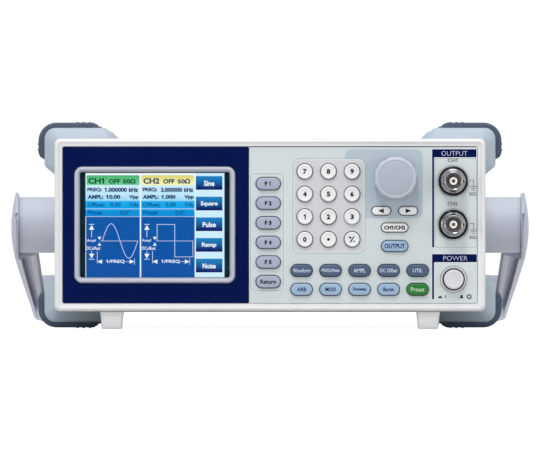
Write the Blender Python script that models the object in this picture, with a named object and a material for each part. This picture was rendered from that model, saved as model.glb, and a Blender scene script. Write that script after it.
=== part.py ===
"""Bench function generator: a half-rack, two-channel instrument with a swinging carry handle.

World frame: metres, +Z up, the front panel facing -Y. The origin lies under the middle of the whole object,
on the surface that the feet stand on. Inside this script, x and z are millimetres from the middle of the
front panel, and depth is millimetres behind the bezel's front face. place() turns them into world metres.
"""

import math

import bmesh
import bpy
from mathutils import Vector

MM = 0.001
GAP = 0.3  # between two pieces that meet
PANEL_CENTRE_Z = 52.8  # middle of the front panel above the surface
BEZEL_FACE_Y = -128.8  # bezel face from the middle of the whole depth

# Casing, as half sizes seen from the front, and depths.
BEZEL_X, BEZEL_Z, BEZEL_RADIUS = 109.5, 43.9, 3.0
BEZEL_DEPTH = 18.0
RIM = 3.9  # width of the bezel's raised border
PANEL_FRONT, PANEL_BACK = 2.0, 4.2  # the bezel's panel wall, behind the overlays
OVERLAY_FRONT, OVERLAY_BACK = 1.2, 1.7
OVERLAY_SPLIT = -10.65  # where the dark display overlay meets the pale control overlay
CASE_X, CASE_Z, CASE_RADIUS = 106.0, 40.5, 2.5
SHEET = 1.2  # sheet steel of the cover and the chassis
COVER_FRONT, COVER_BACK = 12.0, 233.0
FLANGE_TOP = -20.0  # upper edge of the chassis flanges
REAR_PANEL_FRONT, REAR_PANEL_BACK = 231.2, 232.7

# Display opening, from the left of the panel.
FRAME_LEFT, FRAME_RIGHT, FRAME_BOTTOM, FRAME_TOP = -99.2, -17.9, -29.3, 29.5
FRAME_WIDTH = 2.6
FRAME_RADIUS = 3.7

# Keys: travel, and the depths of the cap and of the flange that keeps it behind the panel wall.
KEY_FRONT = -0.8
KEY_CLEARANCE = 0.4
FLANGE_FRONT, FLANGE_BACK = 4.5, 5.5
FLANGE_MARGIN = 0.7
SWITCH_FRONT = 6.8
BOARD_FRONT, BOARD_BACK = 8.4, 10.0

# Handle, in its own plane: u runs from the hub along the arm, v across it.
HUB_DEPTH = 115.0
DRUM_RADIUS = 14.5
DRUM_START = 110.0  # distance from the middle
ARM_HUB_HALF, ARM_END_HALF = 17.0, 11.2
HUB_INNER = 130.3  # inner face of the round plate at the hub
ARM_INNER, ARM_OUTER = 121.2, 134.6
ARM_INNER_END, ARM_OUTER_END = 120.0, 126.6
BORE_RADIUS = 9.1
GRIP_INNER, GRIP_OUTER = 138.0, 161.0
LOW_WALL = 7.5  # height of an arm's upright inner wall, which leans outwards above that
CHANNEL_TOP = -4.0
GRIP_ARCH = 5.2  # how much the grip's underside rises between the arms
REST_TILT = 15.0  # degrees that the arms point below the horizontal, backwards

# Front-panel places.
KNOB = (63.7, 23.8)
KNOB_RADIUS = 11.0
POWER = (93.3, -27.6)
POWER_RADIUS = 5.0
COLLAR_INNER, COLLAR_OUTER = 5.65, 6.4  # the ring round the power button
OUTPUTS = {"output_connector_ch1": (93.05, 22.3), "output_connector_ch2": (93.05, 0.25)}
CONNECTOR_HOLE = 6.6
SHAFT_HOLE = 3.6
SOFT_KEY = (12.1, 6.0)
NUMBER_KEY = (7.7, 7.7)
ARROW_KEY = (9.3, 4.1)
CHANNEL_KEY = (13.2, 4.3)
OUTPUT_KEY = (13.2, 5.4)
FUNCTION_KEY = (10.7, 5.85)

# Rear-panel places, seen from the front.
INLET = (-68.0, -12.0)
INLET_BODY = (27.6, 19.6)
REAR_BNC_X = (30.0, 55.0, 80.0)
REAR_BNC_Z = -19.0
USB_X, USB_Z = 4.0, -21.9
USB_SIZE = (12.0, 11.0)

# Boards inside.
BOARD_THICKNESS = 1.6
SIGNAL_BOARD_TOP = -28.4
SUPPLY_BOARD_TOP = -34.4
ROOTED = 0.5  # how far a part reaches into what it joins, so that the two become one solid

# Corner bumpers, as half sizes seen from the front.
BAND_X, BAND_Z = 109.0, 43.4
CORNER_FLARE_X, CORNER_FLARE_Z = 6.1, 6.2
BUMPER_TAPER = 4.7
BUMPER_WALL = 1.3
PAD_END_X, PAD_END_Z = 87.5, 33.6
PAD_X, PAD_Z, PAD_RADIUS = 118.2, 52.3, 9.2

# Bayonet connectors: radii of the barrel, its bore and the white insulator.
BARREL, BARREL_BORE, INSULATOR = 4.85, 4.0, 2.4

OFF_WHITE = (0.80, 0.78, 0.75)
PALE_GREEN = (0.62, 0.69, 0.69)
NAVY = (0.004, 0.010, 0.085)
LAVENDER = (0.46, 0.48, 0.57)
SLATE_BLUE = (0.11, 0.16, 0.26)
SKY_BLUE = (0.36, 0.52, 0.72)
LEAF_GREEN = (0.03, 0.28, 0.04)
BUMPER_BLUE = (0.47, 0.56, 0.65)
RUBBER_BLUE = (0.045, 0.065, 0.10)
CHROME = (0.55, 0.55, 0.56)
STEEL_PAINT = (0.66, 0.66, 0.64)


# ---------------------------------------------------------------- outlines


def arc(centre_x, centre_z, radius, start, stop, segments):
    """Points on an arc, with its angles in degrees."""
    angles = [math.radians(start + (stop - start) * i / segments) for i in range(segments + 1)]
    return [(centre_x + radius * math.cos(a), centre_z + radius * math.sin(a)) for a in angles]


def rounded_box(left, right, bottom, top, radius, segments=3):
    """A rectangle with round corners."""
    return (
        arc(right - radius, top - radius, radius, 0, 90, segments)
        + arc(left + radius, top - radius, radius, 90, 180, segments)
        + arc(left + radius, bottom + radius, radius, 180, 270, segments)
        + arc(right - radius, bottom + radius, radius, 270, 360, segments)
    )


def centred_box(half_x, half_z, radius, segments=3):
    return rounded_box(-half_x, half_x, -half_z, half_z, radius, segments)


def rectangle(left, right, bottom, top):
    return [(right, top), (left, top), (left, bottom), (right, bottom)]


def circle(centre, radius, segments=16):
    return arc(centre[0], centre[1], radius, 0, 360, segments)[:-1]


def pill(centre, width, height, segments=6):
    """A key's outline: two half circles, or a whole one if it is as high as it is wide."""
    radius = height / 2
    if width - height < 1e-6:
        return circle(centre, radius, 2 * segments)
    reach = width / 2 - radius
    return arc(centre[0] + reach, centre[1], radius, -90, 90, segments) + arc(
        centre[0] - reach, centre[1], radius, 90, 270, segments
    )


def at_depth(outline, depth):
    """A ring for loft() from an outline seen from the front."""
    return [(x, depth, z) for x, z in outline]


# ---------------------------------------------------------------- solids


def plate(outline, holes, front, back):
    """A flat wall between two depths, with holes through it."""
    mesh = bmesh.new()
    edges = []
    for loop in [outline, *holes]:
        ring = [mesh.verts.new((x, front, z)) for x, z in loop]
        edges += [mesh.edges.new(pair) for pair in zip(ring, ring[1:] + ring[:1])]
    bmesh.ops.triangle_fill(mesh, edges=edges, use_beauty=True, normal=(0, -1, 0))
    grown = bmesh.ops.extrude_face_region(mesh, geom=mesh.faces[:])["geom"]
    moved = [item for item in grown if isinstance(item, bmesh.types.BMVert)]
    bmesh.ops.translate(mesh, verts=moved, vec=(0, back - front, 0))
    bmesh.ops.recalc_face_normals(mesh, faces=mesh.faces)
    return mesh


def loft(rings, capped=True):
    """A skin through rings of equal count. Uncapped, the last ring joins the first one again."""
    mesh = bmesh.new()
    loops = [[mesh.verts.new(point) for point in ring] for ring in rings]
    following = loops[1:] if capped else loops[1:] + loops[:1]
    for near, far in zip(loops, following):
        count = len(near)
        for i in range(count):
            j = (i + 1) % count
            mesh.faces.new((near[i], near[j], far[j], far[i]))
    if capped:
        mesh.faces.new(loops[0])
        mesh.faces.new(loops[-1])
    bmesh.ops.recalc_face_normals(mesh, faces=mesh.faces)
    return mesh


def boxes(*corners):
    """One mesh of boxes, each given as x, depth and z ranges."""
    mesh = bmesh.new()
    for (x0, x1), (y0, y1), (z0, z1) in corners:
        made = bmesh.ops.create_cube(mesh, size=1.0)["verts"]
        bmesh.ops.scale(mesh, verts=made, vec=(x1 - x0, y1 - y0, z1 - z0))
        bmesh.ops.translate(mesh, verts=made, vec=((x0 + x1) / 2, (y0 + y1) / 2, (z0 + z1) / 2))
    return mesh


def turned(profile, centre, segments=16):
    """A solid turned about the depth axis through centre. The profile is a list of (depth, radius)."""
    return loft([at_depth(circle(centre, radius, segments), depth) for depth, radius in profile])


def turned_sideways(profile, side, segments=24):
    """A solid turned about the handle's axis. The profile is a list of (distance from the middle, radius)."""
    rings = []
    for distance, radius in profile:
        rings.append([(side * distance, HUB_DEPTH + y, z) for y, z in circle((0, 0), radius, segments)])
    return loft(rings)


# ---------------------------------------------------------------- objects


def finish_material(name, colour, roughness, metallic):
    material = bpy.data.materials.new(name)
    material.use_nodes = True
    shader = material.node_tree.nodes["Principled BSDF"]
    shader.inputs["Base Color"].default_value = (*colour, 1.0)
    shader.inputs["Roughness"].default_value = roughness
    shader.inputs["Metallic"].default_value = metallic
    return material


def add_piece(name, shape, colour, roughness=0.5, metallic=0.0, pivot=(0, 0, 0), round_shape=False):
    """An object from a bmesh in panel millimetres, with its origin at pivot."""
    bmesh.ops.translate(shape, verts=shape.verts, vec=-Vector(pivot))
    bmesh.ops.scale(shape, verts=shape.verts, vec=(MM, MM, MM))
    mesh = bpy.data.meshes.new(name)
    shape.to_mesh(mesh)
    shape.free()
    if round_shape:
        mesh.shade_smooth()
        mesh.set_sharp_from_angle(angle=math.radians(35))
    mesh.materials.append(finish_material(name, colour, roughness, metallic))
    piece = bpy.data.objects.new(name, mesh)
    piece.location = place(*pivot)
    bpy.context.collection.objects.link(piece)
    return piece


def place(x, depth, z):
    """World metres for a point in panel millimetres."""
    return Vector((x, BEZEL_FACE_Y + depth, PANEL_CENTRE_Z + z)) * MM


def combine(target, shape, operation, pivot=(0, 0, 0)):
    """Joins a shape to target, cuts it away, or keeps only what both share. The shape's object is a tool."""
    tool = add_piece(f"{target.name}_tool_{len(target.modifiers)}", shape, OFF_WHITE, pivot=pivot)
    tool.rotation_euler = target.rotation_euler
    tool.hide_render = True
    tool.display_type = "WIRE"
    modifier = target.modifiers.new(tool.name, "BOOLEAN")
    modifier.operation = operation
    modifier.solver = "EXACT"
    modifier.object = tool


# ---------------------------------------------------------------- front panel


def key_table():
    """Each key's name, centre, size and colour."""
    keys = []
    soft_names = ["key_f1", "key_f2", "key_f3", "key_f4", "key_f5", "key_return"]
    for row, name in enumerate(soft_names):
        keys.append((name, (-0.9, 21.0 - 9.96 * row), SOFT_KEY, LAVENDER))
    number_rows = [["7", "8", "9"], ["4", "5", "6"], ["1", "2", "3"], ["0", "point", "sign"]]
    for row, names in enumerate(number_rows):
        for column, label in enumerate(names):
            centre = (17.7 + 12.0 * column, 27.2 - 11.5 * row)
            keys.append((f"key_{label}", centre, NUMBER_KEY, OFF_WHITE))
    keys.append(("key_arrow_left", (56.5, 7.2), ARROW_KEY, OFF_WHITE))
    keys.append(("key_arrow_right", (70.2, 7.2), ARROW_KEY, OFF_WHITE))
    keys.append(("key_channel", (63.35, -1.3), CHANNEL_KEY, OFF_WHITE))
    keys.append(("key_output", (63.35, -10.7), OUTPUT_KEY, SKY_BLUE))
    upper = ["key_waveform", "key_frequency", "key_amplitude", "key_offset", "key_utility"]
    lower = ["key_arbitrary", "key_modulation", "key_sweep", "key_burst", "key_preset"]
    for row, (names, z) in enumerate([(upper, -23.1), (lower, -32.7)]):
        for column, name in enumerate(names):
            colour = SKY_BLUE if row else SLATE_BLUE
            if name == "key_preset":
                colour = LEAF_GREEN
            keys.append((name, (16.05 + 14.74 * column, z), FUNCTION_KEY, colour))
    return keys


def key_holes():
    """Outlines of the holes that the keys slide in."""
    return [
        pill(centre, width + 2 * KEY_CLEARANCE, height + 2 * KEY_CLEARANCE)
        for _, centre, (width, height), _ in key_table()
    ]


def add_keys():
    for name, centre, (width, height), colour in key_table():
        cap = pill(centre, width, height)
        flange = pill(centre, width + 2 * FLANGE_MARGIN, height + 2 * FLANGE_MARGIN)
        rings = [
            at_depth(cap, KEY_FRONT),
            at_depth(cap, FLANGE_FRONT),
            at_depth(flange, FLANGE_FRONT),
            at_depth(flange, FLANGE_BACK),
        ]
        add_piece(name, loft(rings), colour, 0.45, pivot=(centre[0], KEY_FRONT, centre[1]))


def add_front_bezel():
    """The moulded front frame: border and skirt, panel wall, display frame and power-button collar."""
    section = [
        (0.0, BEZEL_DEPTH),
        (0.0, 1.5),
        (0.5, 0.45),
        (1.5, 0.0),
        (RIM - 0.6, 0.0),
        (RIM, 0.6),
        (RIM, PANEL_BACK + 0.6),
        (2.4, PANEL_BACK + 0.6),
        (2.4, BEZEL_DEPTH),
    ]
    rings = []
    for inset, depth in section:
        radius = max(BEZEL_RADIUS - inset * 0.6, 0.8)
        rings.append(at_depth(centred_box(BEZEL_X - inset, BEZEL_Z - inset, radius), depth))
    bezel = add_piece("front_bezel", loft(rings, capped=False), OFF_WHITE, 0.42)

    lip = 0.5
    window_hole = rounded_box(
        FRAME_LEFT + FRAME_WIDTH - lip,
        FRAME_RIGHT - FRAME_WIDTH + lip,
        FRAME_BOTTOM + FRAME_WIDTH - lip,
        FRAME_TOP - FRAME_WIDTH + lip,
        1.5,
    )
    holes = [window_hole, circle(KNOB, SHAFT_HOLE), circle(POWER, (COLLAR_INNER + COLLAR_OUTER) / 2)]
    holes += [circle(centre, CONNECTOR_HOLE) for centre in OUTPUTS.values()]
    holes += key_holes()
    wall_edge = centred_box(BEZEL_X - RIM + 0.9, BEZEL_Z - RIM + 0.9, 1.0, 2)
    combine(bezel, plate(wall_edge, holes, PANEL_FRONT, PANEL_BACK), "UNION")

    root = PANEL_BACK - 0.9
    frame_section = [(0.0, root), (0.0, 0.8), (0.8, 0.1), (2.0, 0.1), (FRAME_WIDTH, 0.9), (FRAME_WIDTH, root)]
    frame_rings = []
    for inset, depth in frame_section:
        frame_rings.append(at_depth(display_outline(-inset, FRAME_RADIUS - inset), depth))
    combine(bezel, loft(frame_rings, capped=False), "UNION")

    collar_section = [
        (COLLAR_OUTER, root),
        (COLLAR_OUTER, 0.4),
        (COLLAR_OUTER - 0.3, 0.0),
        (COLLAR_INNER, 0.0),
        (COLLAR_INNER, root),
    ]
    collar_rings = [at_depth(circle(POWER, radius), depth) for radius, depth in collar_section]
    combine(bezel, loft(collar_rings, capped=False), "UNION")


def display_outline(grow, radius):
    """The display frame's outline, grown outwards by so much."""
    return rounded_box(
        FRAME_LEFT - grow, FRAME_RIGHT + grow, FRAME_BOTTOM - grow, FRAME_TOP + grow, max(radius, 0.8)
    )


def add_overlays():
    """The two printed sheets on the panel wall."""
    edge_x = BEZEL_X - RIM - GAP
    edge_z = BEZEL_Z - RIM - GAP
    display_side = rounded_box(-edge_x, OVERLAY_SPLIT - GAP / 2, -edge_z, edge_z, 0.8, 2)
    opening = display_outline(GAP, FRAME_RADIUS + GAP)
    add_piece("display_overlay", plate(display_side, [opening], OVERLAY_FRONT, OVERLAY_BACK), NAVY, 0.35)

    control_side = rounded_box(OVERLAY_SPLIT + GAP / 2, edge_x, -edge_z, edge_z, 0.8, 2)
    holes = [circle(KNOB, SHAFT_HOLE), circle(POWER, COLLAR_OUTER + GAP)]
    holes += [circle(centre, CONNECTOR_HOLE) for centre in OUTPUTS.values()]
    holes += key_holes()
    add_piece("control_overlay", plate(control_side, holes, OVERLAY_FRONT, OVERLAY_BACK), PALE_GREEN, 0.45)


def add_display():
    """The clear window behind the display frame and the liquid-crystal module behind the window."""
    window = display_outline(-FRAME_WIDTH + 0.2, 1.3)
    add_piece("display_window", plate(window, [], 3.6, 4.8), (0.02, 0.03, 0.05), 0.08)
    glass = at_depth(display_outline(-FRAME_WIDTH + 0.2, 1.0), 5.1)
    glass_back = at_depth(display_outline(-FRAME_WIDTH + 0.2, 1.0), 6.4)
    housing = at_depth(display_outline(0.0, 1.0), 6.4)
    housing_back = at_depth(display_outline(0.0, 1.0), 11.0)
    add_piece("lcd_module", loft([glass, glass_back, housing, housing_back]), (0.01, 0.12, 0.45), 0.3)


def add_knob():
    """The tuning knob with its shaft, which turns in the encoder on the keypad board."""
    profile = [
        (-14.0, 9.2),
        (-13.2, 10.4),
        (-11.5, 10.8),
        (0.5, KNOB_RADIUS),
        (0.5, 3.0),
        (BOARD_BACK + 1.0, 3.0),
    ]
    shape = turned(profile, KNOB, 24)
    add_piece("knob", shape, LAVENDER, 0.45, pivot=(KNOB[0], 0, KNOB[1]), round_shape=True)


def add_power_button():
    """The latching power button with its push rod, and the mains switch that the rod works."""
    profile = [
        (-4.2, POWER_RADIUS - 1.2),
        (-3.5, POWER_RADIUS - 0.2),
        (-2.6, POWER_RADIUS),
        (5.0, POWER_RADIUS),
        (5.0, 7.0),
        (6.2, 7.0),
        (6.2, 2.2),
        (22.0, 2.2),
    ]
    x, z = POWER
    add_piece("power_button", turned(profile, POWER), OFF_WHITE, 0.35, pivot=(x, 0, z), round_shape=True)
    half = 7.0
    body = boxes(((x - half, x + half), (18.0, 36.0), (z - half, z + half)))
    switch = add_piece("power_switch", body, (0.03, 0.03, 0.03))
    combine(switch, turned([(17.0, 2.8), (30.0, 2.8)], POWER), "DIFFERENCE")


def add_output_connectors():
    """The two bayonet output connectors, each with its nut behind the panel wall."""
    washer, thread, nut = 7.5, CONNECTOR_HOLE - 0.4, 7.6
    nut_back = 7.2
    profile = [
        (-9.6, INSULATOR),
        (-3.0, INSULATOR),
        (-3.0, BARREL_BORE),
        (-11.0, BARREL_BORE),
        (-11.0, BARREL),
        (-2.2, BARREL),
        (-1.6, washer),
        (OVERLAY_FRONT - GAP, washer),
        (OVERLAY_FRONT - GAP, thread),
        (PANEL_BACK + GAP, thread),
        (PANEL_BACK + GAP, nut),
        (nut_back, nut),
        (nut_back, 4.4),
        (15.0, 4.4),
    ]
    for name, centre in OUTPUTS.items():
        add_piece(name, turned(profile, centre), CHROME, 0.25, 1.0, round_shape=True)


def add_keypad_board():
    """The board behind the panel wall, with a tactile switch for each key and the knob's encoder."""
    outline = rectangle(-12.0, 81.5, -38.0, 38.0)
    shape = plate(outline, [circle(KNOB, SHAFT_HOLE)], BOARD_FRONT, BOARD_BACK)
    board = add_piece("keypad_board", shape, (0.02, 0.15, 0.05), 0.5)
    half = 1.6
    switches = []
    for _, (x, z), _, _ in key_table():
        switches.append(((x - half, x + half), (SWITCH_FRONT, BOARD_FRONT + 0.5), (z - half, z + half)))
    combine(board, boxes(*switches), "UNION")
    x, z = KNOB
    encoder = rectangle(x - 6.2, x + 6.2, z - 6.7, z + 6.7)
    shape = plate(encoder, [circle(KNOB, SHAFT_HOLE - 0.2)], 5.0, BOARD_FRONT + 0.5)
    combine(board, shape, "UNION")


# ---------------------------------------------------------------- casing


def add_top_cover():
    """The wrap-around steel cover: top and both sides, with vent slots and the handle's bolt holes."""
    inner_x, inner_z = CASE_X - SHEET, CASE_Z - SHEET
    inner_radius = CASE_RADIUS - SHEET
    hem = -CASE_Z + CASE_RADIUS
    outline = (
        [(CASE_X, hem)]
        + arc(CASE_X - CASE_RADIUS, CASE_Z - CASE_RADIUS, CASE_RADIUS, 0, 90, 3)
        + arc(-CASE_X + CASE_RADIUS, CASE_Z - CASE_RADIUS, CASE_RADIUS, 90, 180, 3)
        + [(-CASE_X, hem), (-inner_x, hem)]
        + arc(-inner_x + inner_radius, inner_z - inner_radius, inner_radius, 180, 90, 3)
        + arc(inner_x - inner_radius, inner_z - inner_radius, inner_radius, 90, 0, 3)
        + [(inner_x, hem)]
    )
    rings = [at_depth(outline, COVER_FRONT), at_depth(outline, COVER_BACK)]
    cover = add_piece("top_cover", loft(rings), STEEL_PAINT, 0.5, 0.3)
    slots = []
    for i in range(11):
        depth = 150.0 + 5.0 * i
        slots.append(((-CASE_X - 5, CASE_X + 5), (depth, depth + 2.2), (-12.0, 12.0)))
    combine(cover, boxes(*slots), "DIFFERENCE")
    combine(cover, turned_sideways([(-CASE_X - 5, 5.6), (CASE_X + 5, 5.6)], 1, 16), "DIFFERENCE")


def add_bottom_chassis():
    """The steel tray that everything inside stands on, its flanges inside the cover's sides."""
    outer = CASE_X - SHEET - GAP
    inner = outer - SHEET
    floor = -CASE_Z + SHEET
    outline = [
        (outer, -CASE_Z),
        (outer, FLANGE_TOP),
        (inner, FLANGE_TOP),
        (inner, floor),
        (-inner, floor),
        (-inner, FLANGE_TOP),
        (-outer, FLANGE_TOP),
        (-outer, -CASE_Z),
    ]
    rings = [at_depth(outline, COVER_FRONT), at_depth(outline, COVER_BACK)]
    tray = add_piece("bottom_chassis", loft(rings), STEEL_PAINT, 0.45, 0.6)
    slots = []
    for i in range(9):
        x = -60.0 + 15.0 * i
        slots.append(((x - 4.5, x + 4.5), (90.0, 92.5), (-CASE_Z - 5, floor + 5)))
        slots.append(((x - 4.5, x + 4.5), (98.0, 100.5), (-CASE_Z - 5, floor + 5)))
    combine(tray, boxes(*slots), "DIFFERENCE")


def add_rear_panel():
    edge_x = CASE_X - 2 * SHEET - 2 * GAP
    edge_z = CASE_Z - SHEET - GAP
    width, height = INLET_BODY
    holes = [
        rectangle(
            INLET[0] - width / 2 - GAP,
            INLET[0] + width / 2 + GAP,
            INLET[1] - height / 2 - GAP,
            INLET[1] + height / 2 + GAP,
        ),
        rectangle(
            USB_X - USB_SIZE[0] / 2 - GAP,
            USB_X + USB_SIZE[0] / 2 + GAP,
            USB_Z - USB_SIZE[1] / 2 - GAP,
            USB_Z + USB_SIZE[1] / 2 + GAP,
        ),
    ]
    holes += [circle((x, REAR_BNC_Z), CONNECTOR_HOLE) for x in REAR_BNC_X]
    for i in range(12):
        x = 34.0 + 5.0 * i
        holes.append(rectangle(x, x + 2.2, 4.0, 30.0))
    shape = plate(rectangle(-edge_x, edge_x, -edge_z, edge_z), holes, REAR_PANEL_FRONT, REAR_PANEL_BACK)
    add_piece("rear_panel", shape, STEEL_PAINT, 0.45, 0.5)


def bumper_outline(flare, inset=0.0):
    """The bumper seen from the front. flare 1 stands the four corners out, and 0 leaves a plain band."""
    band_x, band_z = BAND_X - inset, BAND_Z - inset
    corner_x, corner_z = band_x + CORNER_FLARE_X * flare, band_z + CORNER_FLARE_Z * flare
    radius = max(2.5 - inset, 1.0) + 3.1 * flare
    quarter = [(0.0, band_z), (78.5, band_z), (84.0, corner_z)]
    quarter += arc(corner_x - radius, corner_z - radius, radius, 90, 0, 4)
    quarter += [(corner_x, 30.1), (band_x, 24.9)]
    lower = [(x, -z) for x, z in reversed(quarter)]
    right = quarter + [(band_x, 0.0)] + lower
    left = [(-x, z) for x, z in reversed(right[1:-1])]
    return right + left


def pad_outline(side_x, side_z, grow, ring_x, ring_z):
    """One rubber corner pad, grown outwards by so much, reaching in to the given ring."""
    end_x, end_z = PAD_END_X - grow, PAD_END_Z - grow
    outer_x, outer_z = PAD_X + grow, PAD_Z + grow
    radius = PAD_RADIUS + grow
    points = [(end_x, ring_z), (end_x, outer_z - 2.4), (end_x + 2.6, outer_z)]
    points += arc(outer_x - radius, outer_z - radius, radius, 90, 0, 4)
    points += [(outer_x, end_z + 3.2), (outer_x - 2.8, end_z), (ring_x, end_z), (ring_x, ring_z)]
    return [(side_x * x, side_z * z) for x, z in points]


def add_bumper(name, near, far):
    """A corner bumper between two depths: the plastic ring, and the rubber that shows at its corners."""
    flared = bumper_outline(1.0)
    band = bumper_outline(0.0)
    inner = bumper_outline(0.0, BUMPER_WALL)
    rings = [
        at_depth(band, near),
        at_depth(flared, near + BUMPER_TAPER),
        at_depth(flared, far - BUMPER_TAPER),
        at_depth(band, far),
        at_depth(inner, far),
        at_depth(inner, near),
    ]
    frame = add_piece(name, loft(rings, capped=False), BUMPER_BLUE, 0.5)
    pad_near, pad_far = near + BUMPER_TAPER + 1.0, far - BUMPER_TAPER - 1.0
    corners = [(side_x, side_z) for side_x in (-1, 1) for side_z in (-1, 1)]
    for side_x, side_z in corners:
        window = pad_outline(side_x, side_z, GAP, CASE_X - 3, CASE_Z - 3)
        shape = loft([at_depth(window, pad_near - GAP), at_depth(window, pad_far + GAP)])
        combine(frame, shape, "DIFFERENCE")

    ring_near, ring_far = pad_near + 2.0, pad_far - 2.0
    ring_x, ring_z, ring_wall = CASE_X + GAP, CASE_Z + GAP, 1.0
    outer_ring = centred_box(ring_x + ring_wall, ring_z + ring_wall, CASE_RADIUS)
    inner_ring = centred_box(ring_x, ring_z, CASE_RADIUS)
    rings = [
        at_depth(outer_ring, ring_near),
        at_depth(outer_ring, ring_far),
        at_depth(inner_ring, ring_far),
        at_depth(inner_ring, ring_near),
    ]
    rubber = add_piece(f"{name}_rubber", loft(rings, capped=False), RUBBER_BLUE, 0.7)
    for side_x, side_z in corners:
        pad = pad_outline(side_x, side_z, 0.0, ring_x + ring_wall / 2, ring_z + ring_wall / 2)
        combine(rubber, loft([at_depth(pad, pad_near), at_depth(pad, pad_far)]), "UNION")


def add_feet():
    """Four tapered feet: the front pair under the bezel, the rear pair under the chassis."""
    rows = {"front": (80.4, 3.0, -BEZEL_Z - GAP), "rear": (84.1, 190.0, -CASE_Z - GAP)}
    length = 13.0
    radius = 1.2
    for row, (centre_x, depth, top) in rows.items():
        for side, sign in (("left", -1), ("right", 1)):
            x = sign * centre_x
            upper = rounded_box(x - 6.0, x + 6.0, depth, depth + length, radius, 2)
            lower = rounded_box(x - 5.1, x + 5.1, depth + 1, depth + length - 1, radius, 2)
            rings = [[(px, py, top) for px, py in upper], [(px, py, -PANEL_CENTRE_Z) for px, py in lower]]
            add_piece(f"foot_{row}_{side}", loft(rings), OFF_WHITE, 0.6)


# ---------------------------------------------------------------- handle


def mirrored(points):
    """The same run of points on the other side, in the order that continues it."""
    return [(-x, u) for x, u in reversed(points)]


def handle_plan():
    """The handle seen from above as (x, u): both arms and the grip."""
    corner = 8.4
    hub_end = -ARM_HUB_HALF - 1
    outer = [(131.6, hub_end), (133.6, -12.0), (ARM_OUTER, -4.0), (ARM_OUTER, 8.0)]
    outer += [(131.9, 55.0), (129.2, 105.0)]
    outer += arc(ARM_OUTER_END - corner, GRIP_OUTER - corner, corner, 0, 90, 5)
    inner = arc(ARM_INNER_END - 9.0, GRIP_INNER - 9.0, 9.0, 90, 0, 4)
    inner += [(ARM_INNER, DRUM_RADIUS), (HUB_INNER, DRUM_RADIUS), (HUB_INNER, hub_end)]
    return outer + mirrored(outer) + mirrored(inner) + inner


def handle_profile():
    """The handle seen from the side as (u, v): a round hub end and a tapering arm."""
    end_round = 7.0
    end_u, end_v = GRIP_OUTER - end_round, ARM_END_HALF - end_round
    return (
        arc(0, 0, ARM_HUB_HALF, 90, 270, 8)
        + arc(end_u, -end_v, end_round, -90, 0, 3)
        + arc(end_u, end_v, end_round, 0, 90, 3)
    )


def upright(plan, low, high):
    """A prism from an outline seen from above, in the handle's plane."""
    return loft([[(x, HUB_DEPTH + u, v) for x, u in plan] for v in (low, high)])


def channel_plans(side):
    """The two channels in an arm's underside, seen from above, on each side of a stiffening rib."""
    near_u, far_u = DRUM_RADIUS + 2.0, 125.0
    inner_channel = [(123.4, near_u), (126.4, near_u), (123.4, far_u), (121.9, far_u)]
    outer_channel = [(127.8, near_u), (131.0, near_u), (128.9, 60.0), (126.9, 100.0)]
    outer_channel += [(125.6, far_u), (124.7, far_u)]
    return [[(side * x, u) for x, u in plan] for plan in (inner_channel, outer_channel)]


def lean_cut(side):
    """What is taken off an arm's inner side, so that it leans outwards above a low wall."""
    clear = 3.0
    ends = [(DRUM_RADIUS - 0.8, 16.5, ARM_INNER, HUB_INNER - 0.6),
            (GRIP_INNER - 18.0, 12.8, ARM_INNER_END, ARM_INNER_END + 4.2)]
    sections = []
    for u, half, wall_x, top_x in ends:
        wall_top, top = LOW_WALL - half, half + clear
        slope = (top - wall_top) / (top_x - wall_x)
        points = [(wall_x - clear, wall_top - clear * slope), (top_x, top), (wall_x - clear, top)]
        sections.append([(side * x, HUB_DEPTH + u, v) for x, v in points])
    return loft(sections)


def add_handle():
    """The carry handle: hub drums that turn on the pivots, channelled arms and the grip between them."""
    pivot = (0, HUB_DEPTH, 0)
    tall = ARM_HUB_HALF + 3.0
    wide = ARM_OUTER + 5.0
    shape = upright(handle_plan(), -tall, tall)
    handle = add_piece("handle", shape, LAVENDER, 0.5, pivot=pivot)
    handle.rotation_euler.x = -math.radians(REST_TILT)

    profile = [[(x, HUB_DEPTH + u, v) for u, v in handle_profile()] for x in (-wide, wide)]
    combine(handle, loft(profile), "INTERSECT", pivot)

    reach, ramp, steps = 106.0, 26.0, 5
    arch = []
    for i in range(steps + 1):
        share = i / steps
        rise = GRIP_ARCH * share ** 2 * (3 - 2 * share)
        arch.append((ramp * share - reach, rise - ARM_END_HALF - (1 - share)))
    arch += mirrored(arch) + [(reach, -tall), (-reach, -tall)]
    under_grip = loft([[(x, HUB_DEPTH + u, v) for x, v in arch] for u in (GRIP_INNER - 5, GRIP_OUTER + 5)])
    combine(handle, under_grip, "DIFFERENCE", pivot)

    for side in (-1, 1):
        combine(handle, lean_cut(side), "DIFFERENCE", pivot)
        for plan in channel_plans(side):
            combine(handle, upright(plan, -tall, CHANNEL_TOP), "DIFFERENCE", pivot)
        drum = turned_sideways([(DRUM_START, DRUM_RADIUS), (HUB_INNER + 1.0, DRUM_RADIUS)], side)
        combine(handle, drum, "UNION", pivot)
        bore = turned_sideways([(DRUM_START - 3.0, BORE_RADIUS), (DRUM_START + 10.0, BORE_RADIUS)], side)
        combine(handle, bore, "DIFFERENCE", pivot)


def add_handle_pivots():
    """The fixed hubs bolted through the cover's sides, which the handle's drums turn on."""
    profile = [(101.0, 5.0), (CASE_X + GAP, 5.0), (CASE_X + GAP, 15.2)]
    profile += [(109.6, 15.2), (109.6, 8.6), (119.2, 8.6)]
    for name, side in (("handle_pivot_left", -1), ("handle_pivot_right", 1)):
        add_piece(name, turned_sideways(profile, side), (0.10, 0.11, 0.13), 0.5, round_shape=True)


# ---------------------------------------------------------------- inside and rear


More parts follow.
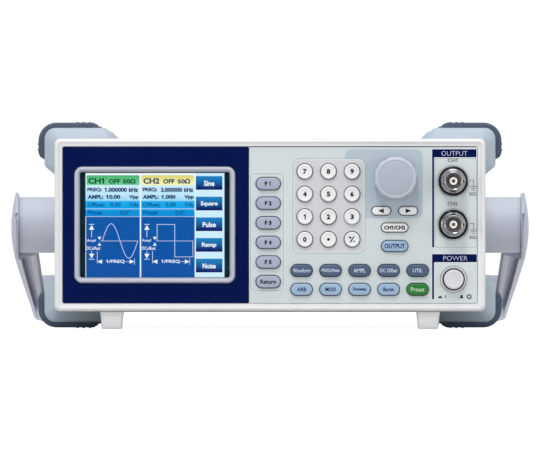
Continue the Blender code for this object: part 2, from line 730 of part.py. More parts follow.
def add_main_board():
    """The signal board, with the rear bayonet connectors and the USB socket soldered to its back edge."""
    top = SIGNAL_BOARD_TOP
    root = top - ROOTED
    width, height = USB_SIZE
    shape = boxes(((-38.0, 100.0), (42.0, REAR_PANEL_FRONT - 1.7), (top - BOARD_THICKNESS, top)))
    board = add_piece("main_board", shape, (0.02, 0.16, 0.05), 0.5)

    shield_can = ((-20.0, 45.0), (70.0, 130.0), (root, top + 12.0))
    heat_sink = ((60.0, 90.0), (80.0, 120.0), (root, top + 9.0))
    usb_base = ((USB_X - 5.0, USB_X + 5.0), (217.0, 223.0), (root, USB_Z))
    housings = []
    for x in REAR_BNC_X:
        housings.append(((x - 7.0, x + 7.0), (214.0, REAR_PANEL_FRONT - 0.8), (root, REAR_BNC_Z + 7.0)))
    combine(board, boxes(shield_can, heat_sink, usb_base, *housings), "UNION")

    usb_face = 233.6
    half_x, half_z = width / 2, height / 2
    shell = ((USB_X - half_x, USB_X + half_x), (216.0, usb_face), (USB_Z - half_z, USB_Z + half_z))
    combine(board, boxes(shell), "UNION")

    shoulder, end = 235.0, 243.0
    thread = CONNECTOR_HOLE - 0.4
    profile = [(REAR_PANEL_FRONT - 2.2, thread), (shoulder, thread), (shoulder, BARREL)]
    profile += [(end, BARREL), (end, BARREL_BORE), (shoulder + 1.0, BARREL_BORE)]
    profile += [(shoulder + 1.0, INSULATOR), (end - 1.0, INSULATOR)]
    for x in REAR_BNC_X:
        combine(board, turned(profile, (x, REAR_BNC_Z)), "UNION")

    usb_floor = 224.0
    mouth = ((USB_X - 4.2, USB_X + 4.2), (usb_floor, usb_face + 5.0), (USB_Z - 3.8, USB_Z + 3.8))
    tongue = ((USB_X - 2.8, USB_X + 2.8), (usb_floor - 1.0, usb_face - 1.2), (USB_Z - 1.6, USB_Z + 1.6))
    combine(board, boxes(mouth), "DIFFERENCE")
    combine(board, boxes(tongue), "UNION")


def add_power_supply():
    """The mains supply board with its transformer, capacitor and heat sinks."""
    top = SUPPLY_BOARD_TOP
    root = top - ROOTED
    shape = boxes(((-98.0, -44.0), (100.0, 204.0), (top - BOARD_THICKNESS, top)))
    supply = add_piece("power_supply", shape, (0.24, 0.17, 0.05), 0.6)
    transformer = ((-84.0, -56.0), (130.0, 160.0), (root, top + 26.0))
    long_heat_sink = ((-96.0, -92.5), (112.0, 190.0), (root, top + 30.0))
    short_heat_sink = ((-50.0, -46.5), (112.0, 150.0), (root, top + 24.0))
    capacitor = ((-84.0, -62.0), (172.0, 194.0), (root, top + 12.0))
    combine(supply, boxes(transformer, long_heat_sink, short_heat_sink, capacitor), "UNION")


def add_mains_inlet():
    """The three-pin mains inlet: flange outside the rear panel, body through it, and an open socket."""
    x, z = INLET
    width, height = INLET_BODY
    flange_x, flange_z = 25.0, 11.5
    flange_front = REAR_PANEL_BACK + GAP
    face = flange_front + 2.2
    flange = rounded_box(x - flange_x, x + flange_x, z - flange_z, z + flange_z, 3.0, 2)
    inlet = add_piece("mains_inlet", plate(flange, [], flange_front, face), (0.02, 0.02, 0.02), 0.4)
    body = ((x - width / 2, x + width / 2), (209.0, face - 1.0), (z - height / 2, z + height / 2))
    combine(inlet, boxes(body), "UNION")

    mouth_x, mouth_z, mouth_depth = 12.2, 8.1, 16.0
    floor = face - mouth_depth
    mouth = ((x - mouth_x, x + mouth_x), (floor, face + 5.0), (z - mouth_z, z + mouth_z))
    combine(inlet, boxes(mouth), "DIFFERENCE")
    pins = []
    for pin_x, pin_z in ((x - 7.0, z - 1.6), (x, z + 3.0), (x + 7.0, z - 1.6)):
        pins.append(((pin_x - 1, pin_x + 1), (floor - 1.0, floor + 9.5), (pin_z - 2, pin_z + 2)))
    combine(inlet, boxes(*pins), "UNION")


def main():
    for old in list(bpy.data.objects):
        bpy.data.objects.remove(old)
    add_handle()
    add_knob()
    add_power_button()
    add_keys()
    add_front_bezel()
    add_overlays()
    add_display()
    add_output_connectors()
    add_keypad_board()
    add_top_cover()
    add_bottom_chassis()
    add_rear_panel()
    add_bumper("front_bumper", BEZEL_DEPTH + GAP, 48.0)
    add_bumper("rear_bumper", 210.0, 240.0)
    add_feet()
    add_handle_pivots()
    add_main_board()
    add_power_supply()
    add_mains_inlet()


main()
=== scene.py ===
import math

import bmesh
import bpy
from mathutils import Matrix, Vector


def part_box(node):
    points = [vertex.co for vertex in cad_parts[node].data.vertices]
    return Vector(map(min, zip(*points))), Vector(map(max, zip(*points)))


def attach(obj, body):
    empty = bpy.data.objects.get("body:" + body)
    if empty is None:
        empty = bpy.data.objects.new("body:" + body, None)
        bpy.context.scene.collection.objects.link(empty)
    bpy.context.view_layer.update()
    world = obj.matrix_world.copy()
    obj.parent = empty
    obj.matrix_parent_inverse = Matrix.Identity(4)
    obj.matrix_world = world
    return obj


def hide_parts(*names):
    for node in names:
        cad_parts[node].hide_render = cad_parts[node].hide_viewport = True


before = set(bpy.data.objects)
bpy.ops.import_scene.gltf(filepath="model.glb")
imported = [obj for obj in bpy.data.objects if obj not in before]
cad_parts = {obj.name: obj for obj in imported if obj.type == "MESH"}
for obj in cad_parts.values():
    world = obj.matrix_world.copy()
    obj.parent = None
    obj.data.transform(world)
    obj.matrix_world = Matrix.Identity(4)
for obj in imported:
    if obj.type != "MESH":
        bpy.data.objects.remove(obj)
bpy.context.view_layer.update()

# The looks of the function generator. x and z are millimetres from the middle of the front panel, and depth
# is millimetres behind the bezel's front face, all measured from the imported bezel. piece() turns them into
# metres.
MM = 0.001
BEZEL_LOW, BEZEL_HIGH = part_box("front_bezel")
PANEL = Vector(((BEZEL_LOW.x + BEZEL_HIGH.x) / 2, BEZEL_LOW.y, (BEZEL_LOW.z + BEZEL_HIGH.z) / 2))
FIXED = "instrument"  # the body that everything without a joint rides on
WALL_GAP = 0.3  # what a fixed part keeps clear of the sheet metal or panel it passes


def span(node):
    """A CAD node's lowest and highest corners in panel millimetres."""
    low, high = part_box(node)
    return (low - PANEL) / MM, (high - PANEL) / MM


def middle(node):
    """A CAD node's middle as (x, z) in panel millimetres."""
    low, high = span(node)
    return (low.x + high.x) / 2, (low.z + high.z) / 2


# ---------------------------------------------------------------- materials


def set_inputs(node, values):
    """Sets a shader node's inputs by name, with _ for each space."""
    for key, value in values.items():
        node.inputs[key.replace("_", " ")].default_value = value


def add_node(tree, kind, **values):
    """A new shader node with its inputs set."""
    made = tree.nodes.new(kind)
    set_inputs(made, values)
    return made


def new_material(name, **values):
    """A material with its main shader's inputs set by name, its node tree and that shader."""
    material = bpy.data.materials.new(name)
    material.use_nodes = True
    shader = material.node_tree.nodes["Principled BSDF"]
    set_inputs(shader, values)
    return material, material.node_tree, shader


def noise(tree, size_mm, detail=3.0):
    """Noise in the object's own space, with features of about so many millimetres."""
    place = tree.nodes.new("ShaderNodeTexCoord")
    made = add_node(tree, "ShaderNodeTexNoise", Scale=1.0 / (size_mm * MM), Detail=detail, Roughness=0.55)
    tree.links.new(place.outputs["Object"], made.inputs["Vector"])
    return made.outputs["Fac"]


def spread(tree, value, low, high, from_low=0.3, from_high=0.7):
    """A 0 to 1 value stretched over a range."""
    made = tree.nodes.new("ShaderNodeMapRange")
    set_inputs(made, {"From_Min": from_low, "From_Max": from_high, "To_Min": low, "To_Max": high})
    tree.links.new(value, made.inputs["Value"])
    return made.outputs["Result"]


def height_in(tree, space):
    """The height of the shaded point in one of the texture spaces."""
    place = tree.nodes.new("ShaderNodeTexCoord")
    parts = tree.nodes.new("ShaderNodeSeparateXYZ")
    tree.links.new(place.outputs[space], parts.inputs["Vector"])
    return parts.outputs["Z"]


def tinted(tree, factor, first, second):
    """A colour between two, by factor. The first is a colour or another node's output."""
    made = tree.nodes.new("ShaderNodeMix")
    made.data_type = "RGBA"
    if isinstance(first, tuple):
        made.inputs["A"].default_value = (*first, 1.0)
    else:
        tree.links.new(first, made.inputs["A"])
    made.inputs["B"].default_value = (*second, 1.0)
    tree.links.new(factor, made.inputs["Factor"])
    return made.outputs["Result"]


def scaled(colour, share, lift=0.0):
    """A colour made darker or lighter, and lifted towards white."""
    return tuple(min(part * share + lift, 1.0) for part in colour)


CLOUD_MM, GLOSS_MM = 22.0, 7.0  # sizes of the slow changes in colour and in gloss


def surface(
    name, colour, roughness, grain=0.0, grain_mm=0.35, mottle=0.03, metallic=0.0,
    edge_wear_and_highlight=0.0, coat=0.0, spots=0.0, shine=0.5,
):
    """A moulded, printed or painted surface: colour clouds, uneven gloss, fine grain, and convex edges
    painted paler as wear and as painted highlight.
    """
    looks = {"Metallic": metallic, "Coat_Weight": coat, "Specular_IOR_Level": shine}
    material, tree, shader = new_material(name, **looks)
    clouds = spread(tree, noise(tree, CLOUD_MM), 0.0, 1.0)
    shade = tinted(tree, clouds, scaled(colour, 1.0 - mottle), scaled(colour, 1.0 + mottle))
    # Convex edges turn paler: partly wear, partly a painted highlight on the rounded edges.
    if edge_wear_and_highlight:
        geometry = tree.nodes.new("ShaderNodeNewGeometry")
        edge = spread(tree, geometry.outputs["Pointiness"], 0.0, edge_wear_and_highlight, 0.515, 0.58)
        shade = tinted(tree, edge, shade, scaled(colour, 1.1, 0.06))
    if spots:
        speck = spread(tree, noise(tree, grain_mm * 1.6, 2.0), 0.0, spots, 0.5, 0.75)
        shade = tinted(tree, speck, shade, scaled(colour, 0.72))
    tree.links.new(shade, shader.inputs["Base Color"])
    gloss = spread(tree, noise(tree, GLOSS_MM, 5.0), roughness - 0.06, roughness + 0.08)
    tree.links.new(gloss, shader.inputs["Roughness"])
    if grain:
        bump = add_node(tree, "ShaderNodeBump", Strength=1.0, Distance=grain * MM)
        tree.links.new(noise(tree, grain_mm, 4.0), bump.inputs["Height"])
        tree.links.new(bump.outputs["Normal"], shader.inputs["Normal"])
    return material


def metal(name, colour, roughness):
    """Plated metal with fine uneven polish."""
    return surface(name, colour, roughness, 0.004, 0.5, 0.04, 1.0)


def glow(name, low, high, bottom_z, top_z):
    """A lit stretch of the display that shades from low to high colour between two heights."""
    dark = (0.01, 0.01, 0.012, 1.0)
    material, tree, shader = new_material(name, Base_Color=dark, Roughness=0.6, Specular_IOR_Level=0.0)
    shader.inputs["Emission Strength"].default_value = 1.0
    share = spread(tree, height_in(tree, "Object"), 0.0, 1.0, PANEL.z + bottom_z * MM, PANEL.z + top_z * MM)
    tree.links.new(tinted(tree, share, low, high), shader.inputs["Emission Color"])
    return material


def clear_window():
    """The display window: clear, thin and slightly smeared."""
    material, tree, shader = new_material(
        "clear_window", Base_Color=(0.97, 0.98, 1.0, 1.0), Transmission_Weight=1.0, IOR=1.12
    )
    smear = spread(tree, noise(tree, 9.0, 4.0), 0.0, 0.03)
    tree.links.new(smear, shader.inputs["Roughness"])
    return material


OFF_WHITE = (0.69, 0.69, 0.70)
PANEL_GREEN = (0.589, 0.647, 0.654)
NAVY = (0.0008, 0.0062, 0.064)
LAVENDER = (0.45, 0.475, 0.565)
SLATE = (0.058, 0.093, 0.170)
SKY = (0.305, 0.430, 0.585)
GREEN = (0.008, 0.175, 0.016)
BUMPER = (0.365, 0.440, 0.510)
RUBBER = (0.042, 0.064, 0.108)
STEEL_PAINT = (0.64, 0.635, 0.61)

OFF_WHITE_PLASTIC = surface("off_white_plastic", OFF_WHITE, 0.42, 0.010, 0.30, 0.02, edge_wear_and_highlight=0.5)
FRAME_PLASTIC = surface("display_frame_plastic", (0.43, 0.445, 0.52), 0.36, 0.008, 0.30, 0.02, edge_wear_and_highlight=0.8)
PALE_FILM = surface("pale_film", PANEL_GREEN, 0.40, 0.006, 0.22, 0.012, shine=0.3)
KEYPAD_FILM = surface("keypad_film", (0.585, 0.590, 0.605), 0.42, 0.006, 0.22, 0.012, shine=0.3)
# Output column's patch: the pale sheet made lighter, as painted light.
OUTPUT_PAINTED_LIGHT = surface("painted_light_output_film", (0.620, 0.670, 0.684), 0.42, 0.006, 0.22, 0.012, shine=0.3)
KNOB_FILM = surface("knob_area_film", (0.432, 0.508, 0.568), 0.42, 0.006, 0.22, 0.015, shine=0.3)
NAVY_FILM = surface("navy_film", NAVY, 0.34, 0.004, 0.25, 0.06, shine=0.05)
# Painted shade beside engraved lines and the keypad edge; the pale line below is their painted highlight and
# also edges the headers.
SHADE_LINE = surface("painted_shade_line", (0.33, 0.375, 0.38), 0.5, shine=0.3)
# Painted shadow round the key holes and along the top edge of the pale sheet.
SHADOW_LINE = surface("painted_shadow_line", (0.13, 0.14, 0.15), 0.5, shine=0.2)
LINE_LIGHT = surface("line_light", (0.74, 0.78, 0.78), 0.45, shine=0.3)
INK_DARK = surface("ink_dark", (0.012, 0.014, 0.020), 0.5, shine=0.15)
INK_GREY = surface("ink_grey", (0.03, 0.035, 0.045), 0.5, shine=0.15)
INK_NAVY = surface("ink_navy", (0.012, 0.025, 0.13), 0.45, shine=0.15)
INK_LAVENDER = surface("ink_lavender", (0.60, 0.60, 0.82), 0.45, shine=0.3)
INK_PALE = surface("ink_pale", (0.66, 0.75, 0.88), 0.45, shine=0.3)
INK_MINT = surface("ink_mint", (0.62, 0.80, 0.62), 0.45, shine=0.3)
KEY_LAVENDER = surface("key_lavender", (0.355, 0.390, 0.500), 0.40, 0.008, 0.25, 0.02, edge_wear_and_highlight=0.5)
KEY_WHITE = surface("key_white", (0.765, 0.770, 0.775), 0.38, 0.006, 0.25, 0.012, edge_wear_and_highlight=0.3)
KEY_SLATE = surface("key_slate", SLATE, 0.38, 0.008, 0.25, 0.03, edge_wear_and_highlight=0.6)
KEY_SKY = surface("key_sky", SKY, 0.38, 0.008, 0.25, 0.02, edge_wear_and_highlight=0.5)
KEY_GREEN = surface("key_green", GREEN, 0.36, 0.008, 0.25, 0.03, edge_wear_and_highlight=0.5)
KNOB_PLASTIC = surface("knob_plastic", (0.375, 0.405, 0.475), 0.46, 0.012, 0.22, 0.02, edge_wear_and_highlight=0.7)
# The knob's grip and rim are lighter than its face, as a painted highlight.
KNOB_RIM_HIGHLIGHT = surface("knob_rim_painted_highlight", (0.455, 0.485, 0.555), 0.36, 0.010, 0.22, 0.02, edge_wear_and_highlight=0.5)
POWER_PLASTIC = surface("power_plastic", (0.655, 0.645, 0.675), 0.28, 0.004, 0.3, 0.015, coat=0.3, edge_wear_and_highlight=0.4)
HANDLE_PLASTIC = surface("handle_plastic", LAVENDER, 0.50, 0.022, 0.42, 0.03, edge_wear_and_highlight=0.6, spots=0.12)
BUMPER_PLASTIC = surface("bumper_plastic", BUMPER, 0.48, 0.022, 0.40, 0.03, edge_wear_and_highlight=0.7, spots=0.12)
BUMPER_RUBBER = surface("bumper_rubber", RUBBER, 0.66, 0.030, 0.30, 0.08, edge_wear_and_highlight=0.35, spots=0.25)
COVER_PAINT = surface("cover_paint", STEEL_PAINT, 0.50, 0.050, 0.85, 0.02, edge_wear_and_highlight=0.5, spots=0.14)
CHASSIS_PAINT = surface("chassis_paint", (0.56, 0.56, 0.545), 0.42, 0.030, 0.9, 0.03, 0.4)
DARK_PLASTIC = surface("dark_plastic", (0.022, 0.023, 0.026), 0.42, 0.015, 0.35, 0.1)
# Near black that stands in as painted shade in the power button's gap and the screws' cross recesses.
GAP_SHADE = surface("painted_gap_shade", (0.05, 0.055, 0.065), 0.7, 0.01, 0.5, 0.1)
LCD_BORDER = surface("lcd_border", (0.004, 0.030, 0.050), 0.5, mottle=0.1, shine=0.1)
NICKEL = metal("nickel_plate", (0.62, 0.61, 0.60), 0.20)
CONNECTOR_METAL = metal("connector_plating", (0.40, 0.39, 0.405), 0.16)
DARK_NICKEL = metal("dark_nickel", (0.025, 0.025, 0.028), 0.25)
SCREW_STEEL = metal("screw_steel", (0.55, 0.55, 0.56), 0.32)
GOLD = metal("contact_gold", (0.83, 0.60, 0.22), 0.28)
INSULATOR = surface("white_insulator", (0.85, 0.83, 0.80), 0.45, 0.003, 0.3, 0.02)
BOARD_GREEN = surface("board_green", (0.012, 0.12, 0.035), 0.35, 0.02, 1.4, 0.25, coat=0.4)
BOARD_TAN = surface("board_tan", (0.26, 0.18, 0.06), 0.55, 0.02, 1.2, 0.2)
WINDOW = clear_window()


# ---------------------------------------------------------------- shapes


def arc(centre_x, centre_z, radius, start, stop, segments):
    """Points on an arc, with its angles in degrees."""
    angles = [math.radians(start + (stop - start) * i / segments) for i in range(segments + 1)]
    return [(centre_x + radius * math.cos(a), centre_z + radius * math.sin(a)) for a in angles]


def rounded_box(left, right, bottom, top, radius, segments=6):
    """A rectangle with round corners."""
    return (
        arc(right - radius, top - radius, radius, 0, 90, segments)
        + arc(left + radius, top - radius, radius, 90, 180, segments)
        + arc(left + radius, bottom + radius, radius, 180, 270, segments)
        + arc(right - radius, bottom + radius, radius, 270, 360, segments)
    )


def circle(centre, radius, segments=40):
    """A circle, as many points as it has segments."""
    return arc(centre[0], centre[1], radius, 0, 360, segments)[:-1]


def pill(centre, width, height):
    """A key's outline: two half circles, or a whole one if it is as high as it is wide."""
    radius, segments = height / 2, 14
    if width - height < 0.01:
        return circle(centre, radius, 2 * segments)
    reach = width / 2 - radius
    right_end = arc(centre[0] + reach, centre[1], radius, -90, 90, segments)
    return right_end + arc(centre[0] - reach, centre[1], radius, 90, 270, segments)


def box_round(centre, half_x, half_z, radius):
    """A rounded box from its middle and half sizes."""
    x, z = centre
    return rounded_box(x - half_x, x + half_x, z - half_z, z + half_z, radius)


def shrunk(area, inset, radius, segments=6):
    """A rounded box inside (left, right, bottom, top), so far in from each side."""
    left, right, bottom, top = area
    return rounded_box(left + inset, right - inset, bottom + inset, top - inset, radius, segments)


def ring_at(outline, depth):
    """An outline of (x, z) points, upright at a depth."""
    return [(x, depth, z) for x, z in outline]


def ring_level(outline, z):
    """An outline of (x, depth) points, level at a height."""
    return [(x, depth, z) for x, depth in outline]


def loft(rings, capped=True, shape=None):
    """A skin through rings of equal count, in shape or a new mesh. Uncapped, the last joins the first."""
    mesh = shape or bmesh.new()
    loops = [[mesh.verts.new(point) for point in ring] for ring in rings]
    faces = []
    following = loops[1:] if capped else loops[1:] + loops[:1]
    for near, far in zip(loops, following):
        for i in range(len(near)):
            j = (i + 1) % len(near)
            faces.append(mesh.faces.new((near[i], near[j], far[j], far[i])))
    if capped:
        faces += [mesh.faces.new(loops[0]), mesh.faces.new(loops[-1])]
    bmesh.ops.recalc_face_normals(mesh, faces=faces)
    return mesh


def plate(outline, holes, front, back, shape=None):
    """A flat sheet with holes through it, between two depths."""
    mesh = shape or bmesh.new()
    edges = []
    for loop in [outline, *holes]:
        ring = [mesh.verts.new((x, front, z)) for x, z in loop]
        edges += [mesh.edges.new(pair) for pair in zip(ring, ring[1:] + ring[:1])]
    filled = bmesh.ops.triangle_fill(mesh, edges=edges, use_beauty=True, normal=(0, -1, 0))["geom"]
    faces = [item for item in filled if isinstance(item, bmesh.types.BMFace)]
    grown = bmesh.ops.extrude_face_region(mesh, geom=faces)["geom"]
    moved = [item for item in grown if isinstance(item, bmesh.types.BMVert)]
    bmesh.ops.translate(mesh, verts=moved, vec=(0, back - front, 0))
    bmesh.ops.recalc_face_normals(mesh, faces=mesh.faces)
    return mesh


def turned(profile, centre, segments, shape=None, capped=True):
    """A solid turned about the depth axis through centre. The profile is a list of (depth, radius)."""
    rings = [ring_at(circle(centre, radius, segments), depth) for depth, radius in profile]
    return loft(rings, capped, shape)


def box(shape, x, depth, z, soft=0.0):
    """Adds a box with softened edges to a shape, from its x, depth and z ranges."""
    made = bmesh.ops.create_cube(shape, size=1.0)["verts"]
    ranges = (x, depth, z)
    bmesh.ops.scale(shape, verts=made, vec=[high - low for low, high in ranges])
    bmesh.ops.translate(shape, verts=made, vec=[(low + high) / 2 for low, high in ranges])
    if soft:
        edges = list({edge for vertex in made for edge in vertex.link_edges})
        rounding = {"segments": 3, "profile": 0.5, "affect": "EDGES", "clamp_overlap": True}
        bmesh.ops.bevel(shape, geom=edges, offset=soft, **rounding)
    return shape


def paint(shape, first_face, index):
    """Gives the faces from first_face on a material index."""
    shape.faces.ensure_lookup_table()
    for face in shape.faces[first_face:]:
        face.material_index = index


def piece(name, shape, materials, replaces=(), body=FIXED, sharp=38.0):
    """Puts a shape in panel millimetres into the scene as a piece that rides on a body. Creases of more than
    sharp degrees stay sharp."""
    bmesh.ops.scale(shape, verts=shape.verts, vec=(MM, MM, MM))
    bmesh.ops.translate(shape, verts=shape.verts, vec=PANEL)
    mesh = bpy.data.meshes.new(name)
    shape.to_mesh(mesh)
    shape.free()
    mesh.shade_smooth()
    mesh.set_sharp_from_angle(angle=math.radians(sharp))
    for material in materials if isinstance(materials, (list, tuple)) else [materials]:
        mesh.materials.append(material)
    made = bpy.data.objects.new(name, mesh)
    bpy.context.scene.collection.objects.link(made)
    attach(made, body)
    if replaces:
        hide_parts(*replaces)
    return made


INK = 0.05  # thickness of printed lettering


def letter_mesh(text, bold):
    """Lettering as a closed mesh in the x-z plane, from the built-in font, with its own size and place."""
    curve = bpy.data.curves.new("lettering", "FONT")
    curve.body = text
    curve.extrude = 0.5
    curve.offset = bold
    curve.resolution_u = 3
    lettering = bpy.data.objects.new("lettering", curve)
    bpy.context.scene.collection.objects.link(lettering)
    bpy.context.view_layer.update()
    mesh = bpy.data.meshes.new_from_object(lettering.evaluated_get(bpy.context.evaluated_depsgraph_get()))
    bpy.data.objects.remove(lettering)
    mesh.transform(Matrix.Rotation(math.radians(90), 4, "X"))
    return mesh


def glyphs(shape):
    """The x and z ranges of each separate letter, from left to right."""
    left = set(shape.verts)
    found = []
    while left:
        seen, edge = set(), [left.pop()]
        while edge:
            vertex = edge.pop()
            seen.add(vertex)
            for link in vertex.link_edges:
                other = link.other_vert(vertex)
                if other in left:
                    left.remove(other)
                    edge.append(other)
        xs, zs = [v.co.x for v in seen], [v.co.z for v in seen]
        found.append((min(xs), max(xs), min(zs), max(zs)))
    return sorted(found)


def write(shape, text, centre, height, depth, width, bold=0.0):
    """Adds lettering to a shape: its box is centred, so high and so wide, and its face stands at depth.
    The font draws a 1 as a bare bar, so a flag is added to it."""
    mesh = letter_mesh(text, bold)
    xs = [v.co.x for v in mesh.vertices]
    zs = [v.co.z for v in mesh.vertices]
    scale_x, scale_z = width / (max(xs) - min(xs)), height / (max(zs) - min(zs))
    mid_x, mid_z = (max(xs) + min(xs)) / 2, (max(zs) + min(zs)) / 2
    for v in mesh.vertices:
        x = centre[0] + (v.co.x - mid_x) * scale_x
        v.co = (x, depth + (v.co.y + 0.5) * INK, centre[1] + (v.co.z - mid_z) * scale_z)
    words = bmesh.new()
    words.from_mesh(mesh)
    bpy.data.meshes.remove(mesh)
    bmesh.ops.remove_doubles(words, verts=words.verts, dist=1e-5)
    if "1" in text:
        letters = glyphs(words)
        for left, right, low, high in [letters[i] for i, letter in enumerate(text) if letter == "1"]:
            thick, tall = right - left, high - low
            stem, tip = left + 0.3 * thick, high - 0.2 * tall
            flag = [(stem, high), (left - 0.22 * tall, tip)]
            flag += [(left - 0.16 * tall, tip - 0.8 * thick), (stem, high - 1.2 * thick)]
            plate(flag, [], depth, depth + INK, shape=words)
    return merge(shape, words)


# ---------------------------------------------------------------- front panel

RIM = 3.9  # width of the bezel's border round the printed sheets
RIM_BACK = 4.8  # depth of the step behind the border
WALL_FRONT, WALL_BACK = 2.0, 4.2  # the panel wall that the sheets lie on
FILM = span("control_overlay")[0].y  # depth of the printed sheets' faces
FILM_BACK = span("control_overlay")[1].y
SPLIT = span("control_overlay")[0].x
KEY_GAP = 0.3
KNOB = middle("knob")
POWER = middle("power_button")
OUTPUTS = [middle("output_connector_ch1"), middle("output_connector_ch2")]
SOCKET_HOLES = [circle(centre, 6.6) for centre in OUTPUTS]
KNOB_HOLE = circle(KNOB, 3.6)
POWER_HOLE = circle(POWER, 6.7)
NUMBER_LABELS = [["7", "8", "9"], ["4", "5", "6"], ["1", "2", "3"], ["0", "point", "sign"]]
SOFT_KEYS = [("key_f1", "F1"), ("key_f2", "F2"), ("key_f3", "F3"), ("key_f4", "F4"), ("key_f5", "F5")]
WIDE_KEYS = [
    # name, words, style, lettering width and height
    ("key_return", "Return", "soft", 8.0, 2.2),
    ("key_channel", "CH1/CH2", "white", 10.9, 2.1),
    ("key_output", "OUTPUT", "sky", 10.4, 2.4),
    ("key_waveform", "Waveform", "slate", 8.8, 1.9),
    ("key_frequency", "FREQ/Rate", "slate", 8.9, 1.9),
    ("key_amplitude", "AMPL", "slate", 6.0, 1.9),
    ("key_offset", "DC Offset", "slate", 8.9, 1.9),
    ("key_utility", "UTIL", "slate", 4.9, 1.9),
    ("key_arbitrary", "ARB", "sky", 4.6, 2.0),
    ("key_modulation", "MOD", "sky", 5.4, 2.0),
    ("key_sweep", "Sweep", "sky", 6.8, 2.2),
    ("key_burst", "Burst", "sky", 5.4, 2.0),
    ("key_preset", "Preset", "green", 6.9, 2.2),
]
KEY_STYLES = {
    "soft": (KEY_LAVENDER, INK_DARK, "key_soft"),
    "white": (KEY_WHITE, INK_DARK, "key_white"),
    "slate": (KEY_SLATE, INK_PALE, "key_slate"),
    "sky": (KEY_SKY, INK_NAVY, "key_sky"),
    "green": (KEY_GREEN, INK_MINT, "key_green"),
}
FLANGE_MARGIN = 0.7  # how far a key's retaining flange stands out from its cap
DISH = 0.35  # how deep the number keys are dished
HEADER_LEFT = 82.35
KEYPAD_AREA, KEYPAD_CORNER = (12.4, 47.6, -13.6, 33.0), 2.6
PRINT_LIFT = 0.06  # how far printed bars stand above the sheet


def key_nodes():
    """The nodes of all the keys."""
    names = [name for name, _ in SOFT_KEYS] + [row[0] for row in WIDE_KEYS]
    names += [f"key_{label}" for row in NUMBER_LABELS for label in row]
    return names + ["key_arrow_left", "key_arrow_right"]


def key_size(name):
    """A key cap's width and height, without the flange that keeps it in."""
    low, high = span(name)
    return high.x - low.x - 2 * FLANGE_MARGIN, high.z - low.z - 2 * FLANGE_MARGIN


def key_holes(gap=KEY_GAP):
    """The outlines of the holes that the keys stand in."""
    holes = []
    for name in key_nodes():
        width, height = key_size(name)
        holes.append(pill(middle(name), width + 2 * gap, height + 2 * gap))
    return holes


def inside(points, outline):
    """Whether an outline's middle lies within the bounds of another."""
    x = sum(p[0] for p in points) / len(points)
    z = sum(p[1] for p in points) / len(points)
    xs, zs = [p[0] for p in outline], [p[1] for p in outline]
    return min(xs) < x < max(xs) and min(zs) < z < max(zs)


def frame_outline(inset, radius):
    """The raised frame round the display, at so far in from its outer edge."""
    return shrunk((-99.2, -17.9, -29.3, 29.5), inset, max(radius, 0.6), 8)


def add_bezel():
    """Moulded frame with its soft border, panel wall, display frame and power collar."""
    half_x, half_z = (BEZEL_HIGH.x - BEZEL_LOW.x) / MM / 2, (BEZEL_HIGH.z - BEZEL_LOW.z) / MM / 2
    back = span("front_bezel")[1].y
    section = [(0.0, back), (0.0, 2.4), (0.12, 1.5), (0.4, 0.75), (0.85, 0.25), (1.3, 0.03), (1.6, 0.0)]
    section += [(1.85, 0.1), (2.05, 0.35), (2.25, 0.5), (RIM - 0.35, 0.6), (RIM - 0.1, 0.7), (RIM, 0.95)]
    section += [(RIM, RIM_BACK), (2.4, RIM_BACK), (2.4, back)]
    rings = []
    for inset, depth in section:
        rings.append(ring_at(box_round((0, 0), half_x - inset, half_z - inset, 3.0 - inset * 0.4), depth))
    shape = loft(rings, capped=False)
    holes = [frame_outline(2.1, 1.5), KNOB_HOLE, circle(POWER, 6.0), *SOCKET_HOLES, *key_holes()]
    wall = box_round((0, 0), half_x - RIM + 0.9, half_z - RIM + 0.9, 1.0)
    plate(wall, holes, WALL_FRONT, WALL_BACK, shape=shape)
    collar = [(WALL_BACK, 6.4), (0.75, 6.4), (0.35, 6.32), (0.08, 6.12), (0.06, 5.92)]
    collar += [(0.25, 5.72), (WALL_BACK, 5.65)]
    turned(collar, POWER, 40, shape, capped=False)
    piece("bezel_moulding", shape, OFF_WHITE_PLASTIC, ["front_bezel"])

    section = [(0.0, WALL_BACK), (0.0, 0.9), (0.15, 0.45), (0.55, 0.12), (1.0, 0.05), (1.5, 0.2)]
    section += [(2.0, 0.75), (2.35, 1.5), (2.6, 2.2), (2.6, WALL_BACK)]
    rings = [ring_at(frame_outline(inset, 3.7 - inset), depth) for inset, depth in section]
    piece("display_frame", loft(rings, capped=False), FRAME_PLASTIC)


def add_sheet(name, node_name, holes, material):
    """A printed sheet that covers one side of the panel wall."""
    low, high = span(node_name)
    outline = rounded_box(low.x, high.x, low.z, high.z, 0.8)
    piece(name, plate(outline, holes, FILM, FILM_BACK), material, [node_name])


def add_sheet_piece(name, shape, material):
    """A layer on the pale sheet as its own piece: prints, and the lines and patch of painted light and
    shade.
    """
    piece(name, shape, material)


def raised(shape, outline, holes, lift):
    """A flat shape that stands a hair above the sheet and reaches into it."""
    return plate(outline, holes, FILM - lift, FILM + 0.2, shape)


def add_areas():
    """The tinted areas of the pale sheet with the keys' holes cut out; the output column's patch is lighter
    than the sheet, as painted light.
    """
    for name, outline, lift, material in [
        ("knob_area_print", shrunk((37.9, 77.6, 3.4, 38.4), 0.0, 3.6), 0.03, KNOB_FILM),
        ("keypad_area_print", shrunk(KEYPAD_AREA, 0.0, KEYPAD_CORNER), 0.08, KEYPAD_FILM),
        # Painted light: the output column is made lighter than the rest of the pale sheet.
        ("output_area_painted_light", rounded_box(83.2, 105.2, -39.2, 39.4, 0.8), 0.03, OUTPUT_PAINTED_LIGHT),
    ]:
        holes = [hole for hole in [*key_holes(), *SOCKET_HOLES, POWER_HOLE] if inside(hole, outline)]
        add_sheet_piece(name, raised(None, outline, holes, lift), material)


